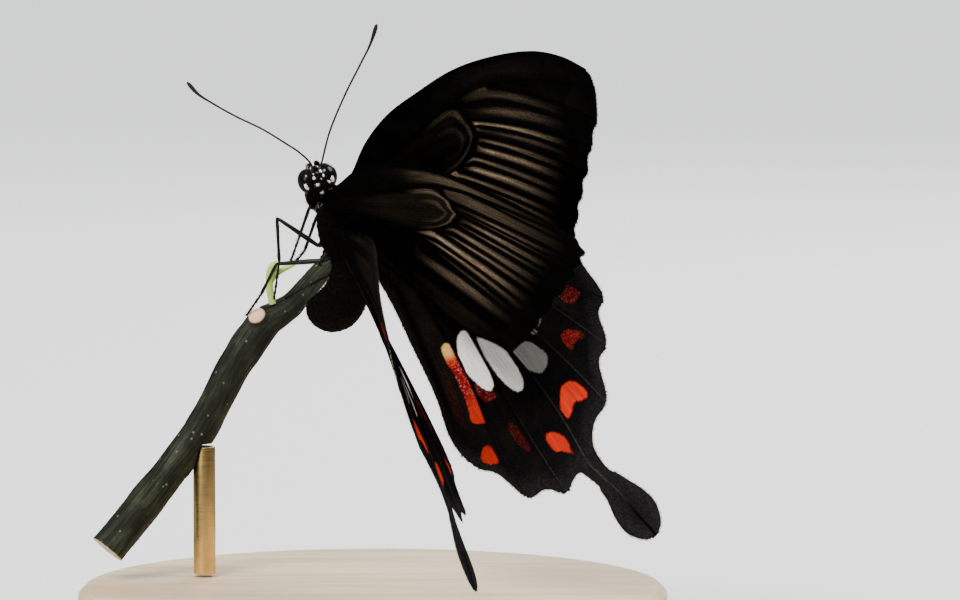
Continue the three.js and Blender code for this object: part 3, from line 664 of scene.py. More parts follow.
# ---- markings on the hindwings: outlines in the plan's flat millimetres, kept to their space
# between veins. "full" is how densely the pale scales lie, "warm" the colour from crimson 0 to
# yellow 1, along the patch where it changes, and "speck" the share of pale scales in the red.
whitePatches = [
    {"spaces": (6,), "full": 1.0, "outline": [
        (9.3, -14.7), (8.4, -15.3), (8.0, -17.0), (8.2, -19.0), (8.9, -20.6), (10.1, -22.3), (11.1, -22.9),
        (11.8, -22.2), (11.6, -20.5), (10.9, -17.4), (10.1, -15.2)]},
    {"spaces": (5,), "full": 0.54, "outline": [
        (10.5, -15.8), (11.1, -18.9), (12.4, -22.0), (13.8, -23.9), (14.9, -24.0), (15.4, -22.9),
        (14.8, -20.6), (13.9, -18.5), (11.9, -16.7)]},
    {"spaces": (4,), "full": 0.115, "outline": [
        (14.2, -19.2), (16.6, -18.1), (18.9, -20.8), (18.3, -22.3), (17.2, -23.0), (15.0, -21.2)]},
    {"spaces": (3,), "full": 0.1, "outline": [
        (18.3, -15.6), (17.8, -16.8), (18.1, -17.8), (18.8, -17.1), (18.9, -16.1)]},
    {"spaces": (3, 4), "full": 0.09, "outline": [
        (16.6, -17.3), (17.6, -17.1), (18.3, -18.1), (17.7, -18.5), (17.0, -18.0)]},
]
redSpots = [
    {"spaces": (7,), "full": 1.0, "warm": [[0, 1], [0.12, 0.95], [0.22, 0.62], [0.3, 0.12], [0.6, 0.16],
                                           [0.78, 0.42], [1, 0.4]],
     "speck": [[0, 0], [0.2, 0.1], [0.3, 0.7], [0.62, 0.5], [0.8, 0.1], [1, 0]], "outline": [
         (6.1, -16.2), (6.5, -15.5), (7.6, -15.6), (8.0, -17.8), (8.9, -20.6), (9.7, -23.5), (10.0, -26.1),
         (8.8, -25.9), (7.6, -25.5), (7.7, -23.0), (7.2, -20.0), (6.5, -18.2)]},
    {"spaces": (7,), "full": 0.16, "warm": 0.0, "outline": [
        (5.6, -18.0), (6.3, -18.4), (6.8, -20.5), (7.2, -24.0), (7.0, -25.6), (6.0, -25.2), (5.5, -21.5)]},
    {"spaces": (6,), "full": 0.45, "warm": 0.08, "speck": 0.35, "outline": [
        (9.0, -20.3), (10.4, -22.3), (12.0, -23.0), (11.2, -23.9), (10.0, -23.9), (9.2, -22.6)]},
    {"spaces": (7,), "full": 0.8, "warm": 0.42, "outline": [
        (7.8, -28.9), (8.6, -28.0), (9.6, -28.3), (10.3, -30.8), (8.9, -30.7), (7.7, -29.9)]},
    {"spaces": (6,), "full": 0.26, "warm": 0.14, "outline": [
        (11.7, -26.5), (12.7, -26.7), (13.7, -28.2), (14.5, -30.8), (13.8, -31.0), (12.3, -29.0)]},
    {"spaces": (5,), "full": 0.9, "warm": 0.42, "outline": [
        (16.0, -29.3), (17.3, -29.2), (18.8, -30.5), (19.3, -33.1), (18.0, -32.1), (16.8, -31.9),
        (16.1, -30.4)]},
    {"spaces": (4,), "full": 1.0, "warm": 0.46, "outline": [
        (18.7, -26.2), (19.1, -24.7), (20.4, -24.3), (21.6, -25.0), (22.6, -27.0), (21.3, -27.4),
        (20.5, -27.1), (19.9, -28.5), (19.2, -28.9), (18.5, -27.4)]},
    {"spaces": (3,), "full": 0.42, "warm": 0.22, "speck": 0.12, "outline": [
        (20.2, -19.2), (21.2, -18.5), (22.8, -19.1), (23.6, -20.7), (22.2, -20.4), (21.5, -21.5),
        (20.7, -20.7)]},
    {"spaces": (2,), "full": 0.36, "warm": 0.2, "speck": 0.2, "outline": [
        (20.5, -14.0), (21.4, -13.3), (23.0, -13.9), (24.2, -15.4), (22.7, -16.4), (21.6, -15.7)]},
    {"spaces": (6,), "full": 0.12, "warm": 0.15, "outline": [
        (13.5, -34.1), (15.0, -34.2), (16.4, -35.3), (14.5, -35.2)]},
]


def roundedOutline(points, rounds=2):
    outline = np.array(points, float)
    for _ in range(rounds):
        following = np.roll(outline, -1, axis=0)
        cut = [outline * 0.8 + following * 0.2, outline * 0.2 + following * 0.8]
        outline = np.stack(cut, 1).reshape(-1, 2)
    return outline


# How deep each place lies inside an outline, negative outside it
def depthInside(outline, places):
    run = np.roll(outline, -1, axis=0) - outline
    offset = places[:, None] - outline[None]
    share = np.clip((offset * run).sum(2) / (run * run).sum(1), 0, 1)
    away = np.linalg.norm(offset - share[:, :, None] * run, axis=2).min(1)
    below = offset[:, :, 1] < 0
    crossing = below != (offset[:, :, 1] < run[:, 1])
    reach = offset[:, :, 1] / np.where(np.abs(run[:, 1]) < 1e-9, 1e-9, run[:, 1])
    inside = (crossing & (offset[:, :, 0] < reach * run[:, 0])).sum(1) % 2 == 1
    return np.where(inside, away, -away)


# The deepest patch at each place of a line, with what the patch says there
def patchesOn(patches, line):
    count = len(line["place"])
    found = {"depth": np.full(count, -farOff), "full": np.zeros(count), "warm": np.zeros(count),
             "speck": np.zeros(count)}
    for patch in patches:
        if line["space"] in patch["spaces"]:
            outline = roundedOutline(patch["outline"])
            depth = depthInside(outline, line["place"]) - 0.15
            nearer = depth > found["depth"]
            top, bottom = outline[:, 1].max(), outline[:, 1].min()
            share = np.clip((top - line["place"][:, 1]) / (top - bottom), 0, 1)
            found["depth"] = np.where(nearer, depth, found["depth"])
            found["full"] = np.where(nearer, patch["full"], found["full"])
            for key in ("warm", "speck"):
                given = patch.get(key, 0.0)
                value = np.interp(share, *zip(*given)) if isinstance(given, list) else given
                found[key] = np.where(nearer, value, found[key])
    return found


# Pale streaks lie on both sides of the dark fold in each space: where along the wing they start,
# how strong they are before and behind the fold, and the fold's share of the way across the
# space, 0 for none. On the left forewing the spaces 0 to 2, without a fold, hold a painted sheen:
# a smooth brown band along the front edge, drawn in the streak colour.
streaks = {
    "fore": {0: (0.5, 0.008, 0.008, 0), 1: (0.74, 0.1, 0.1, 0.5), 2: (0.58, 0.22, 0.26, 0.5),
             3: (0.575, 1.3, 0.45, 0.55), 4: (0.575, 0.75, 0.85, 0.5), 5: (0.51, 0.8, 0.9, 0.5),
             6: (0.37, 0.85, 0.6, 0.5), 7: (0.33, 0.4, 0.15, 0.35), 8: (0.35, 0.03, 0.03, 0)},
    # the left forewing's spaces 0 to 2, without a fold, are a painted sheen band along the front edge, not
    # scale streaks
    "foreLeft": {0: (0.4, 0.14, 0.14, 0), 1: (0.55, 0.14, 0.14, 0), 2: (0.45, 0.13, 0.13, 0),
                 3: (0.585, 0.6, 0.42, 0.5), 4: (0.585, 0.65, 0.48, 0.5), 5: (0.515, 0.5, 0.6, 0.5),
                 6: (0.37, 0.62, 0.52, 0.5), 7: (0.4, 0.36, 0.3, 0.25), 8: (0.35, 0.02, 0.02, 0)},
    "hind": {0: (0.3, 0.01, 0.01, 0), 1: (0.4, 0.01, 0.01, 0), 2: (0.4, 0.01, 0.01, 0), 3: (0.5, 0, 0, 0),
             4: (0.5, 0, 0, 0), 5: (0.46, 0, 0, 0), 6: (0.35, 0.003, 0.003, 0), 7: (0.1, 0.01, 0.012, 0),
             8: (0.1, 0.016, 0.016, 0)},
    "fade": (0.5, 0.93),
    # the painted sheen band on the left forewing, and the other spaces without a fold, fade over these shares
    # of the wing
    "sheenBandFade": (0.62, 0.98),
    "rise": (0.035, 0.35),  # over this share of the wing with a fold, and without
    "faintRise": 0.3,  # a faint streak rises this much more slowly
    "lens": (0.03, 0.3),  # the fold opens and narrows again over these shares of the wing
    "lensLag": 0.01,
    "foldEdge": 0.06,
    "offCentre": 0.45,  # with a fold nearer the front than this, the streaks end at twice its share
    "fadesOver": 0.25,
    "noFold": 0.3,  # the distance from the fold in a space without one
    "cellRise": (0.38, 0.55),
    "fillRise": (0.08, 0.3),
    "narrow": (0.3, 1.0),  # a space this narrow in mm loses its streaks
    "foldWidth": {"dark": 0.06, "open": 0.22, "least": 0.04},
    "cell": {"fore": 0.06, "foreLeft": 0.16, "hind": 0},
    "cellFill": {"fore": 0.004, "foreLeft": 0.014, "hind": 0},
    "cellWave": 1.5,
}


def streakOn(kind, plan, line, at):
    start, before, behind, fold = streaks[kind][line["space"]]
    share, rise, (low, high) = line["share"], streaks["rise"][1], streaks["sheenBandFade"]
    if fold:
        rise = streaks["rise"][0] + streaks["faintRise"] * (1 - min(max(before, behind), 1))
        low, high = streaks["fade"]
    window = before + (behind - before) * eased(-streaks["foldEdge"], streaks["foldEdge"], share - fold)
    window = window * eased(start, start + rise, at) * (1 - eased(low, high, at))
    (opens, closes), late = streaks["lens"], start + streaks["lensLag"]
    opening = eased(late, late + opens, at) * (1 - 0.5 * eased(start + opens, start + closes, at))
    fromFold = np.abs(share - fold) if fold else np.full(len(at), streaks["noFold"])
    if 0 < fold < streaks["offCentre"]:
        window = window * (1 - eased(fold * 2, fold * 2 + streaks["fadesOver"], share))
    inCell = np.zeros(len(at))
    if kind != "hind" and besideCell(plan, line):
        within = at < plan["cell"]["along"]
        inCell = within * eased(*streaks["cellRise"], at)
        window = np.where(within, streaks["cellFill"][kind] * eased(*streaks["fillRise"], at), window)
        opening = np.where(within, 0, opening)
    return {"window": window * eased(*streaks["narrow"], line["width"]), "opening": opening,
            "fromFold": fromFold, "cell": inCell * streaks["cell"][kind]}


# Distance from the cell's walls, rounded where two of them are equally near
def insideCell(plan, line, at, edges):
    if not besideCell(plan, line):
        return np.zeros(len(at))
    softness = wingDetail["cellSoftness"]
    return -np.log(sum(np.exp(-softness * away) for away in cellGaps(plan, line, at, edges))) / softness


wingValues = ("gap", "white", "whiteFull", "red", "redFull", "warm", "speck", "window", "opening",
              "fromFold", "cell", "cellGap", "rim", "pale", "lane", "reach", "margin", "inner", "fold")


def valuesOn(kind, plan, line, at, edges):
    white, red = (patchesOn(marks if plan is hindWing else [], line) for marks in (whitePatches, redSpots))
    last = line["space"] == len(plan["veins"])
    rim = eased(*wingDetail["hindRim"], at) * (plan is hindWing)
    return {
        **streakOn(kind, plan, line, at),
        "gap": gapToVein(plan, line, at, edges),
        "white": white["depth"],
        "whiteFull": white["full"],
        "red": red["depth"],
        "redFull": red["full"],
        "warm": red["warm"],
        "speck": red["speck"],
        "rim": rim,
        "pale": rim * (1.0 if line["space"] in wingDetail["paleSpaces"] else wingDetail["paleElsewhere"]),
        "cellGap": insideCell(plan, line, at, edges),
        "lane": line["space"] + line["share"],
        "reach": travelled(line["place"]),
        "margin": (1 - at) * lengthPerShare(line, at),
        "inner": (1 - line["share"]) * line["width"] if last else np.full(len(at), farOff),
        "fold": np.cos(2 * np.pi * line["share"]) * eased(*wingDetail["pleatRoom"], line["width"]),
    }


# ---- wing materials
wingColours = {
    "black": (0.0011, 0.001, 0.001, 1),
    "brown": (0.0032, 0.0025, 0.002, 1),
    "vein": (0.0012, 0.001, 0.0009, 1),
    "streak": (0.86, 0.61, 0.38, 1),
    # paler scales towards the hindwings' margins, partly a painted bluish sheen
    "charcoal": (0.014, 0.013, 0.0143, 1),
    "paleVein": (0.15, 0.14, 0.13, 1),
    "white": (0.98, 0.94, 0.87, 1),
    "crimson": (0.17, 0.005, 0.009, 1),
    "scarlet": (0.52, 0.026, 0.006, 1),
    "orange": (0.98, 0.6, 0.17, 1),
    "speck": (0.62, 0.2, 0.19, 1),
    "fringe": (0.55, 0.48, 0.36, 1),
}


# Over which distances in mm each mark of the wings sets in
wingEdges = {"vein": (0.07, 0.2), "paleVein": (0.02, 0.18), "rimCharcoalAndSheen": (0.2, 3.2), "offVein": (0.18, 0.95),
             "cellFade": (0.6, 3.4), "white": (-0.08, 0.14), "red": (-0.1, 0.16), "firstWave": 0.18}


# Black scales with pale streaks, white patches and red spots, from the values on the mesh, with a painted
# sheen band on the left forewing's front and a charcoal margin on the hindwings that is partly painted sheen
def makeWingPattern():
    group, nodes, entry, leave = newGroup(
        "wing_pattern",
        [(label, "NodeSocketFloat", None) for label in ("Grain", "Mottle", "Fine")],
        [("Color", "NodeSocketColor"), ("Vein", "NodeSocketFloat")],
    )
    grain, mottle, fine = entry["Grain"], entry["Mottle"], entry["Fine"]
    gap, opening, cellGap, full, redFull = (
        nodes.attribute(name) for name in ("gap", "opening", "cellGap", "whiteFull", "redFull")
    )
    noisy = nodes.plus(nodes.minus(grain, 0.45), nodes.minus(fine, 0.5))
    vein = nodes.between(gap, *wingEdges["vein"], 1.0, 0.0)
    base = nodes.mix(nodes.between(mottle, 0.4, 0.75), wingColours["black"], wingColours["brown"])
    base = nodes.mix(nodes.times(grain, 0.3), base, wingColours["brown"])
    # towards the hindwings' margins the black turns charcoal: paler scales, and partly a painted sheen
    edging = nodes.between(nodes.attribute("margin"), *wingEdges["rimCharcoalAndSheen"], 1.0, 0.3)
    charcoalAndSheen = nodes.times(nodes.attribute("rim"), edging, nodes.between(grain, 0.1, 0.8, 0.35, 1.0))
    base = nodes.mix(charcoalAndSheen, base, wingColours["charcoal"])
    base = nodes.mix(vein, base, wingColours["vein"])
    line = nodes.times(nodes.attribute("pale"), nodes.between(gap, *wingEdges["paleVein"], 0.19, 0.0),
                       nodes.between(grain, 0.1, 0.7, 0.4, 1.0))
    base = nodes.mix(line, base, wingColours["paleVein"])

    width = streaks["foldWidth"]
    low = nodes.times(opening, width["dark"])
    high = nodes.plus(nodes.times(opening, width["open"]), width["least"])
    offFold = nodes.between(nodes.attribute("fromFold"), low, high)
    across = nodes.times(offFold, nodes.between(gap, *wingEdges["offVein"]))
    # the pale streaks, and on the left forewing's front spaces a painted sheen band, both in the streak
    # colour
    streakAndSheen = nodes.times(nodes.maths("POWER", across, 2.0), nodes.attribute("window"))
    run = nodes.add("ShaderNodeCombineXYZ", {
        "X": nodes.times(nodes.attribute("lane"), 16.0), "Y": nodes.times(nodes.attribute("reach"), 0.22),
    }).outputs[0]
    hairlines = nodes.noise(run, 1.0, 3.0, 0.6)
    turn = nodes.times(nodes.minus(cellGap, wingEdges["firstWave"]), 2 * math.pi / streaks["cellWave"])
    curves = nodes.times(nodes.between(nodes.maths("SINE", turn), -0.2, 1.0), nodes.attribute("cell"),
                         nodes.between(cellGap, *wingEdges["cellFade"], 1.0, 0.0))
    streakAndSheen = nodes.times(nodes.maths("MAXIMUM", streakAndSheen, curves),
                          nodes.between(hairlines, 0.34, 0.62, 0.45, 1.0),
                          nodes.between(grain, 0.05, 0.75, 0.5, 1.0))
    base = nodes.mix(nodes.between(hairlines, 0.5, 0.8, 0.0, 0.3), base, wingColours["brown"])
    base = nodes.mix(streakAndSheen, base, wingColours["streak"])

    depth = nodes.plus(nodes.attribute("white"), nodes.times(noisy, 0.1))
    dark = nodes.times(nodes.between(grain, 0.0, 0.4, 0.92, 1.0),
                       nodes.between(hairlines, 0.3, 0.65, 0.78, 1.0))
    white = nodes.times(nodes.between(depth, *wingEdges["white"]), nodes.times(full, dark))
    white = nodes.times(white, nodes.minus(1.0, nodes.times(vein, 0.8)))
    colour = nodes.mix(white, base, wingColours["white"])

    depth = nodes.plus(nodes.attribute("red"), nodes.times(noisy, 0.14))
    specks = nodes.between(nodes.plus(redFull, nodes.minus(grain, 0.5)), -0.2, 0.55)
    red = nodes.times(nodes.between(depth, *wingEdges["red"]), nodes.times(redFull, specks))
    warm = nodes.attribute("warm")
    tint = nodes.mix(nodes.between(warm, 0.0, 0.5), wingColours["crimson"], wingColours["scarlet"])
    tint = nodes.mix(nodes.between(warm, 0.55, 1.0), tint, wingColours["orange"])
    tint = nodes.mix(nodes.between(hairlines, 0.35, 0.65, 0.4, 0.0), tint, wingColours["crimson"])
    bright = nodes.times(nodes.between(grain, 0.6, 0.75), nodes.attribute("speck"))
    tint = nodes.mix(bright, tint, wingColours["speck"])
    nodes.give(leave["Color"], nodes.mix(red, colour, tint))
    nodes.give(leave["Vein"], vein)
    return group


wingPattern = makeWingPattern()


def makeWingMaterial(name, duller, roughness):
    material, nodes = newMaterial(name, wingColours["black"], roughness, {"Specular IOR Level": 0.0})
    place = nodes.object()
    scales = nodes.group(scaleGrain, {"Place": place})
    fine = nodes.noise(place, 0.0009, 3.0, 0.6)
    inputs = {"Grain": scales["Grain"], "Mottle": scales["Mottle"], "Fine": fine}
    pattern = nodes.group(wingPattern, inputs)
    colour = nodes.mix(duller, pattern["Color"], wingColours["brown"])
    rough = nodes.between(scales["Grain"], 0.0, 1.0, roughness - 0.1, roughness + 0.12)
    rough = nodes.minus(rough, nodes.times(pattern["Vein"], 0.12))
    nodes.finish(colour, rough, scales["Height"], 0.00005, 0.5)
    return material


wingUpper = makeWingMaterial("wing_upper_scales", 0.0, 0.55)
wingUnder = makeWingMaterial("wing_under_scales", 0.04, 0.5)


# The tail goes on from the wing's margin, row after row, along its own path
def addTail(shape, plan, lines, stations, layers):
    tail, reach = plan["tail"], 8
    spaces = np.array([line["space"] for line in lines])
    middle = int(np.argmax(spaces == plan["tailVein"] + 1))
    shape.verts.ensure_lookup_table()
    edge = [shape.verts[j * stations + stations - 1] for j in range(middle - reach, middle + reach)]
    base = np.array([vertex.co[:2] for vertex in edge])
    centres = throughKnots(tail["knots"], np.linspace(0, 1, tail["steps"] + 1))
    halves = throughKnots(tail["halfWidth"], np.linspace(0, 1, tail["steps"] + 1))[:, 0]
    shares = np.linalg.norm(base - centres[0], axis=1)
    shares = np.where(np.arange(len(edge)) < reach, shares / shares[0], -shares / shares[-1])
    for i in range(1, tail["steps"] + 1):
        forwards = unit(centres[i] - centres[i - 1])
        side = np.array([-forwards[1], forwards[0]])
        boundary = [shape.edges.get((a, b)) for a, b in zip(edge[:-1], edge[1:])]
        grown = bmesh.ops.extrude_edge_only(shape, edges=[item for item in boundary if item])["geom"]
        fresh = [item for item in grown if isinstance(item, bmesh.types.BMVert)]
        following = []
        for old, share in zip(edge, shares):
            twin = min(fresh, key=lambda vertex: (vertex.co - old.co).length)
            fresh.remove(twin)
            following.append(twin)
        for twin, share in zip(following, shares):
            place = centres[i] + side * halves[i] * share
            twin.co = (*place, 0)
            away = abs(share) * halves[i]
            values = {
                "gap": away, "margin": halves[i] - away, "inner": farOff, "white": -farOff, "red": -farOff,
                "rim": 1, "pale": 1 - eased(*tail["paleUntil"], i / tail["steps"]),
                "lane": plan["tailVein"] + 1.3 + 0.3 * share, "reach": 43 + 0.35 * i,
            }
            for key in wingValues:
                twin[layers[key]] = values.get(key, 0)
        edge = following


# Extruding lists its new edges and faces in an order of its own, so they're put in the vertices' order
def sortByVertices(shape):
    shape.verts.index_update()
    count = len(shape.verts)

    def order(item):
        indices = sorted(vertex.index for vertex in item.verts)
        return float(indices[0] * count + indices[-1])

    shape.edges.sort(key=order)
    shape.faces.sort(key=order)


def wingMatrix(wing):
    held = (
        Matrix.Translation(wing["hinge"])
        @ turned(-wing["raise"], "Y")
        @ turned(wing["twist"], "X")
        @ turned(-wing["sweep"], "Z")
    )
    return bodyFrame @ Matrix.Diagonal((wing["side"], 1, 1, 1)) @ held


def buildWing(name):
    wing = wings[name]
    plan = wing["plan"]
    at = wingStations(plan)
    edges = spaceEdges(plan, at)
    lines = wingLines(plan, at)
    kind = "hind" if plan is hindWing else {"forewing_left": "foreLeft"}.get(name, "fore")
    rows = [valuesOn(kind, plan, line, at, edges) for line in lines]
    shape = bmesh.new()
    layers = {key: shape.verts.layers.float.new(key) for key in wingValues}
    bmesh.ops.create_grid(shape, x_segments=len(at) - 1, y_segments=len(lines) - 1, size=1)
    for vertex in shape.verts:
        i = round((vertex.co.x + 1) / 2 * (len(at) - 1))
        j = round((vertex.co.y + 1) / 2 * (len(lines) - 1))
        vertex.co = (*lines[j]["place"][i], 0)
        for key, layer in layers.items():
            vertex[layer] = rows[j][key][i]
        vertex.index = j * len(at) + i
    shape.verts.sort()
    if "tail" in plan:
        addTail(shape, plan, lines, len(at), layers)
        sortByVertices(shape)
    bmesh.ops.remove_doubles(shape, verts=shape.verts, dist=1e-4)
    if "tail" in plan:
        root = Vector((*plan["tail"]["knots"][0][1], 0))
        corners = [vertex for vertex in shape.verts if (vertex.co - root).length < plan["tail"]["blend"]]
        for _ in range(plan["tail"]["blendRounds"]):
            bmesh.ops.smooth_vert(shape, verts=corners, factor=0.5, use_axis_x=True, use_axis_y=True)
    facing = sum(face.normal.z * face.calc_area() for face in shape.faces)
    if facing * wing["side"] < 0:
        bmesh.ops.reverse_faces(shape, faces=shape.faces)
    pleatShare = wingDetail["hindPleat"] if plan is hindWing else 1
    for vertex in shape.verts:
        x, y = vertex.co.x, vertex.co.y
        pleat = wingDetail["pleat"] * vertex[layers["fold"]] * pleatShare
        vertex.co.z = camberHeight(plan, wing["camber"], x, y) + pleat
    shape.transform(wingMatrix(wing))
    mesh = asMesh(shape, name)
    raised = np.exp(-((valuesOf(mesh, "gap") / wingDetail["veinWidth"]) ** 2))
    least = wingDetail["atMargin"]
    thinning = least + (1 - least) * eased(0, wingDetail["wholeFrom"], valuesOf(mesh, "margin"))
    share = thinning * (wingDetail["membrane"] + (1 - wingDetail["membrane"]) * raised)
    piece = addPiece("dressed_" + name, mesh, [wingUpper, wingUnder], [name])
    thick = piece.vertex_groups.new(name="thick")
    for index, weight in enumerate(share):
        thick.add([index], float(weight), "REPLACE")
    wall = piece.modifiers.new("thickness", "SOLIDIFY")
    wall.thickness = wingDetail["thickness"] * mm
    wall.offset = 0
    wall.vertex_group = "thick"
    wall.material_offset = 1
    return mesh


wingMeshes = {name: buildWing(name) for name in wings}
print("wings ready")

# The head is rolled to its left about its own length, in the body's millimetres
headAxis = Matrix.Translation((0, 0, -1.3))
headTurn = headAxis @ turned(-26, "Y") @ headAxis.inverted()

# ---- the body: one skin over head, thorax and abdomen, and its coat
# The spine runs from the face over the back to the abdomen's tip, in the body's own millimetres.
bodyShape = {
    "spine": [(0, 7.8, -1.5), (0, 6.0, -1.3), (0, 4.2, -0.7), (0, 1.5, 0.0), (0, -1.5, 0.0),
              (0, -3.4, -0.8), (-0.1, -6.0, -2.0), (-0.3, -7.8, -3.9), (-0.45, -8.5, -6.5),
              (-0.45, -8.0, -9.1), (-0.4, -7.0, -11.0)],
    "grow": 0.22,  # closes the gaps between the solids
    "voxel": 0.1,
    "coat": 0.16,  # how far the skin lies inside the solids
    "smoothing": 6,
    "headEnd": 4.3,
    "abdomenStart": -2.9,
    "segmentLength": 1.85,
    "grooveDepth": 0.07,
    "groove": (0.16, 0.86),  # shares of a segment where one groove ends and the next one starts
    "ringsFrom": (-2.6, -4.5),
}
# White scale dots on the back of the head and the collar: x, y and radius. Those off the middle
# have a twin.
headDots = [(0.365, 7.18, 0.15), (0.475, 6.6, 0.15), (0.615, 6.06, 0.21), (0.64, 5.18, 0.2),
            (0.58, 4.2, 0.22), (0.0, 6.55, 0.09), (0.0, 5.65, 0.08)]
headMiddle = [[4.1, 0.46], [5.2, 0.32], [6.1, 0.21], [7.2, 0.0]]  # the dots' midline: y and x
collarDots = [(0.0, 4.05, 0.16), (1.15, 3.95, 0.24), (0.95, 3.2, 0.18), (1.65, 3.1, 0.22)]
# and on the cheeks and sides: x, y, z and radius
sideDots = [(1.5, 3.05, -0.5, 0.22), (1.3, 4.6, -2.4, 0.26), (1.75, 3.4, -1.7, 0.26),
            (2.0, 2.2, -1.6, 0.26), (0.5, 7.0, -2.4, 0.2), (1.1, 5.0, -2.6, 0.22), (2.2, 0.6, -1.7, 0.24)]


def alongSpine(places):
    return nearLine(places, curveThrough(bodyShape["spine"], 160))


def dotShare(places):
    share = np.zeros(len(places))
    inHead = placedBy(headTurn.inverted(), places)
    inHead[:, 0] -= throughKnots(headMiddle, inHead[:, 1])[:, 0]
    for way in (-1, 1):
        for dots, given in ((headDots, inHead), (collarDots, places)):
            for x, y, radius in dots:
                away = np.hypot(given[:, 0] - way * x, given[:, 1] - y)
                onBack = eased(-1.5, -1.2, given[:, 2] + 0.8 * np.maximum(given[:, 1] - 6, 0))
                share = np.maximum(share, onBack * (1 - eased(radius * 0.8, radius * 1.1, away)))
        for x, y, z, radius in sideDots:
            away = np.linalg.norm(places - (way * x, y, z), axis=1)
            share = np.maximum(share, 1 - eased(radius * 0.8, radius * 1.15, away))
    return share


def makeSkin():
    shape = bmesh.new()
    for name in ("head", "thorax", "abdomen"):
        part = mergedNode(name)
        part.normal_update()
        for vertex in part.verts:
            vertex.co += vertex.normal * bodyShape["grow"] * mm
        addMesh(shape, asMesh(part, name))
    mesh = remeshed(shape, "body_skin", bodyShape["voxel"], bodyShape["smoothing"])
    inBody = inBodyFrame(meshPlaces(mesh))
    along, _, _ = alongSpine(inBody)
    ring = (along / bodyShape["segmentLength"]) % 1
    onAbdomen = eased(*bodyShape["ringsFrom"], inBody[:, 1])
    low, high = bodyShape["groove"]
    groove = 1 - eased(0, low, ring) + eased(high, 1, ring)
    inwards = bodyShape["grow"] + bodyShape["coat"] + onAbdomen * bodyShape["grooveDepth"] * groove
    movePlaces(mesh, meshPlaces(mesh) - meshNormals(mesh) * inwards[:, None] * mm)
    storeValues(mesh, "dot", dotShare(inBody))
    return mesh


bodyColours = {
    "black": (0.0018, 0.0016, 0.0014, 1),
    "brown": (0.0032, 0.0027, 0.0022, 1),
    "hair": (0.0036, 0.003, 0.0024, 1),
    "wingHair": (0.013, 0.0102, 0.009, 1),
    "white": (0.86, 0.8, 0.66, 1),
    "eye": (0.0012, 0.001, 0.0011, 1),
    "eyeDepth": (0.006, 0.0035, 0.003, 1),
    "legDark": (0.0016, 0.0018, 0.0012, 1),
    "legPale": (0.011, 0.014, 0.005, 1),
    "feeler": (0.014, 0.01, 0.007, 1),
}


dullShine = {"Specular IOR Level": 0.04}


def makeSkinMaterial():
    material, nodes = newMaterial("body_scales", bodyColours["black"], 0.6, dullShine)
    scales = nodes.group(scaleGrain, {"Place": nodes.object()})
    base = nodes.mix(scales["Grain"], bodyColours["black"], bodyColours["brown"])
    base = nodes.mix(nodes.times(scales["Mottle"], 0.3), base, bodyColours["hair"])
    base = nodes.mix(nodes.attribute("dot"), base, bodyColours["white"])
    nodes.finish(base, nodes.between(scales["Grain"], 0.0, 1.0, 0.45, 0.7), scales["Height"], 0.00005, 0.7)
    return material


def makeCoatMaterial(name, dark, light, pale):
    material, nodes = newMaterial(name, light, 0.5, dullShine)
    tone = nodes.attribute("tone")
    base = nodes.mix(tone, dark, light)
    base = nodes.mix(nodes.times(nodes.attribute("tip"), 0.35), base, light)
    streaky = nodes.noise(nodes.object(), 0.0004, 2.0)
    base = nodes.mix(nodes.times(streaky, 0.3), base, bodyColours["brown"])
    base = nodes.mix(nodes.attribute("dot"), base, pale)
    nodes.finish(base, nodes.between(tone, 0.0, 1.0, 0.42, 0.6))
    return material


skinMaterial = makeSkinMaterial()
coatMaterial = makeCoatMaterial("body_hair", bodyColours["black"], bodyColours["hair"], bodyColours["white"])
fringeMaterial = makeCoatMaterial("wing_fringe", wingColours["brown"], bodyColours["wingHair"],
                                  wingColours["fringe"])
tuft = {"waist": 0.8, "flatness": 0.45, "tip": 0.02, "patch": 0.0015}  # "patch" is on the bake map


# One tuft: a thin three-sided blade along +Z, from 0 to 1
def tuftTemplate():
    shape = bmesh.new()
    bmesh.ops.create_cone(shape, cap_ends=True, segments=3, radius1=1, radius2=tuft["tip"], depth=1)
    bmesh.ops.translate(shape, verts=shape.verts, vec=(0, 0, 0.5))
    ribs = [edge for edge in shape.edges if abs(edge.verts[0].co.z - edge.verts[1].co.z) > 0.5]
    bmesh.ops.subdivide_edges(shape, edges=ribs, cuts=1)
    for vertex in shape.verts:
        if 0.2 < vertex.co.z < 0.8:
            out = Vector((vertex.co.x, vertex.co.y, 0)).normalized() * tuft["waist"]
            vertex.co = (out.x, out.y, 0.5)
    bmesh.ops.remove_doubles(shape, verts=shape.verts, dist=3 * tuft["tip"])
    bmesh.ops.triangulate(shape, faces=shape.faces)
    bmesh.ops.recalc_face_normals(shape, faces=shape.faces)
    return asMesh(shape, "tuft")


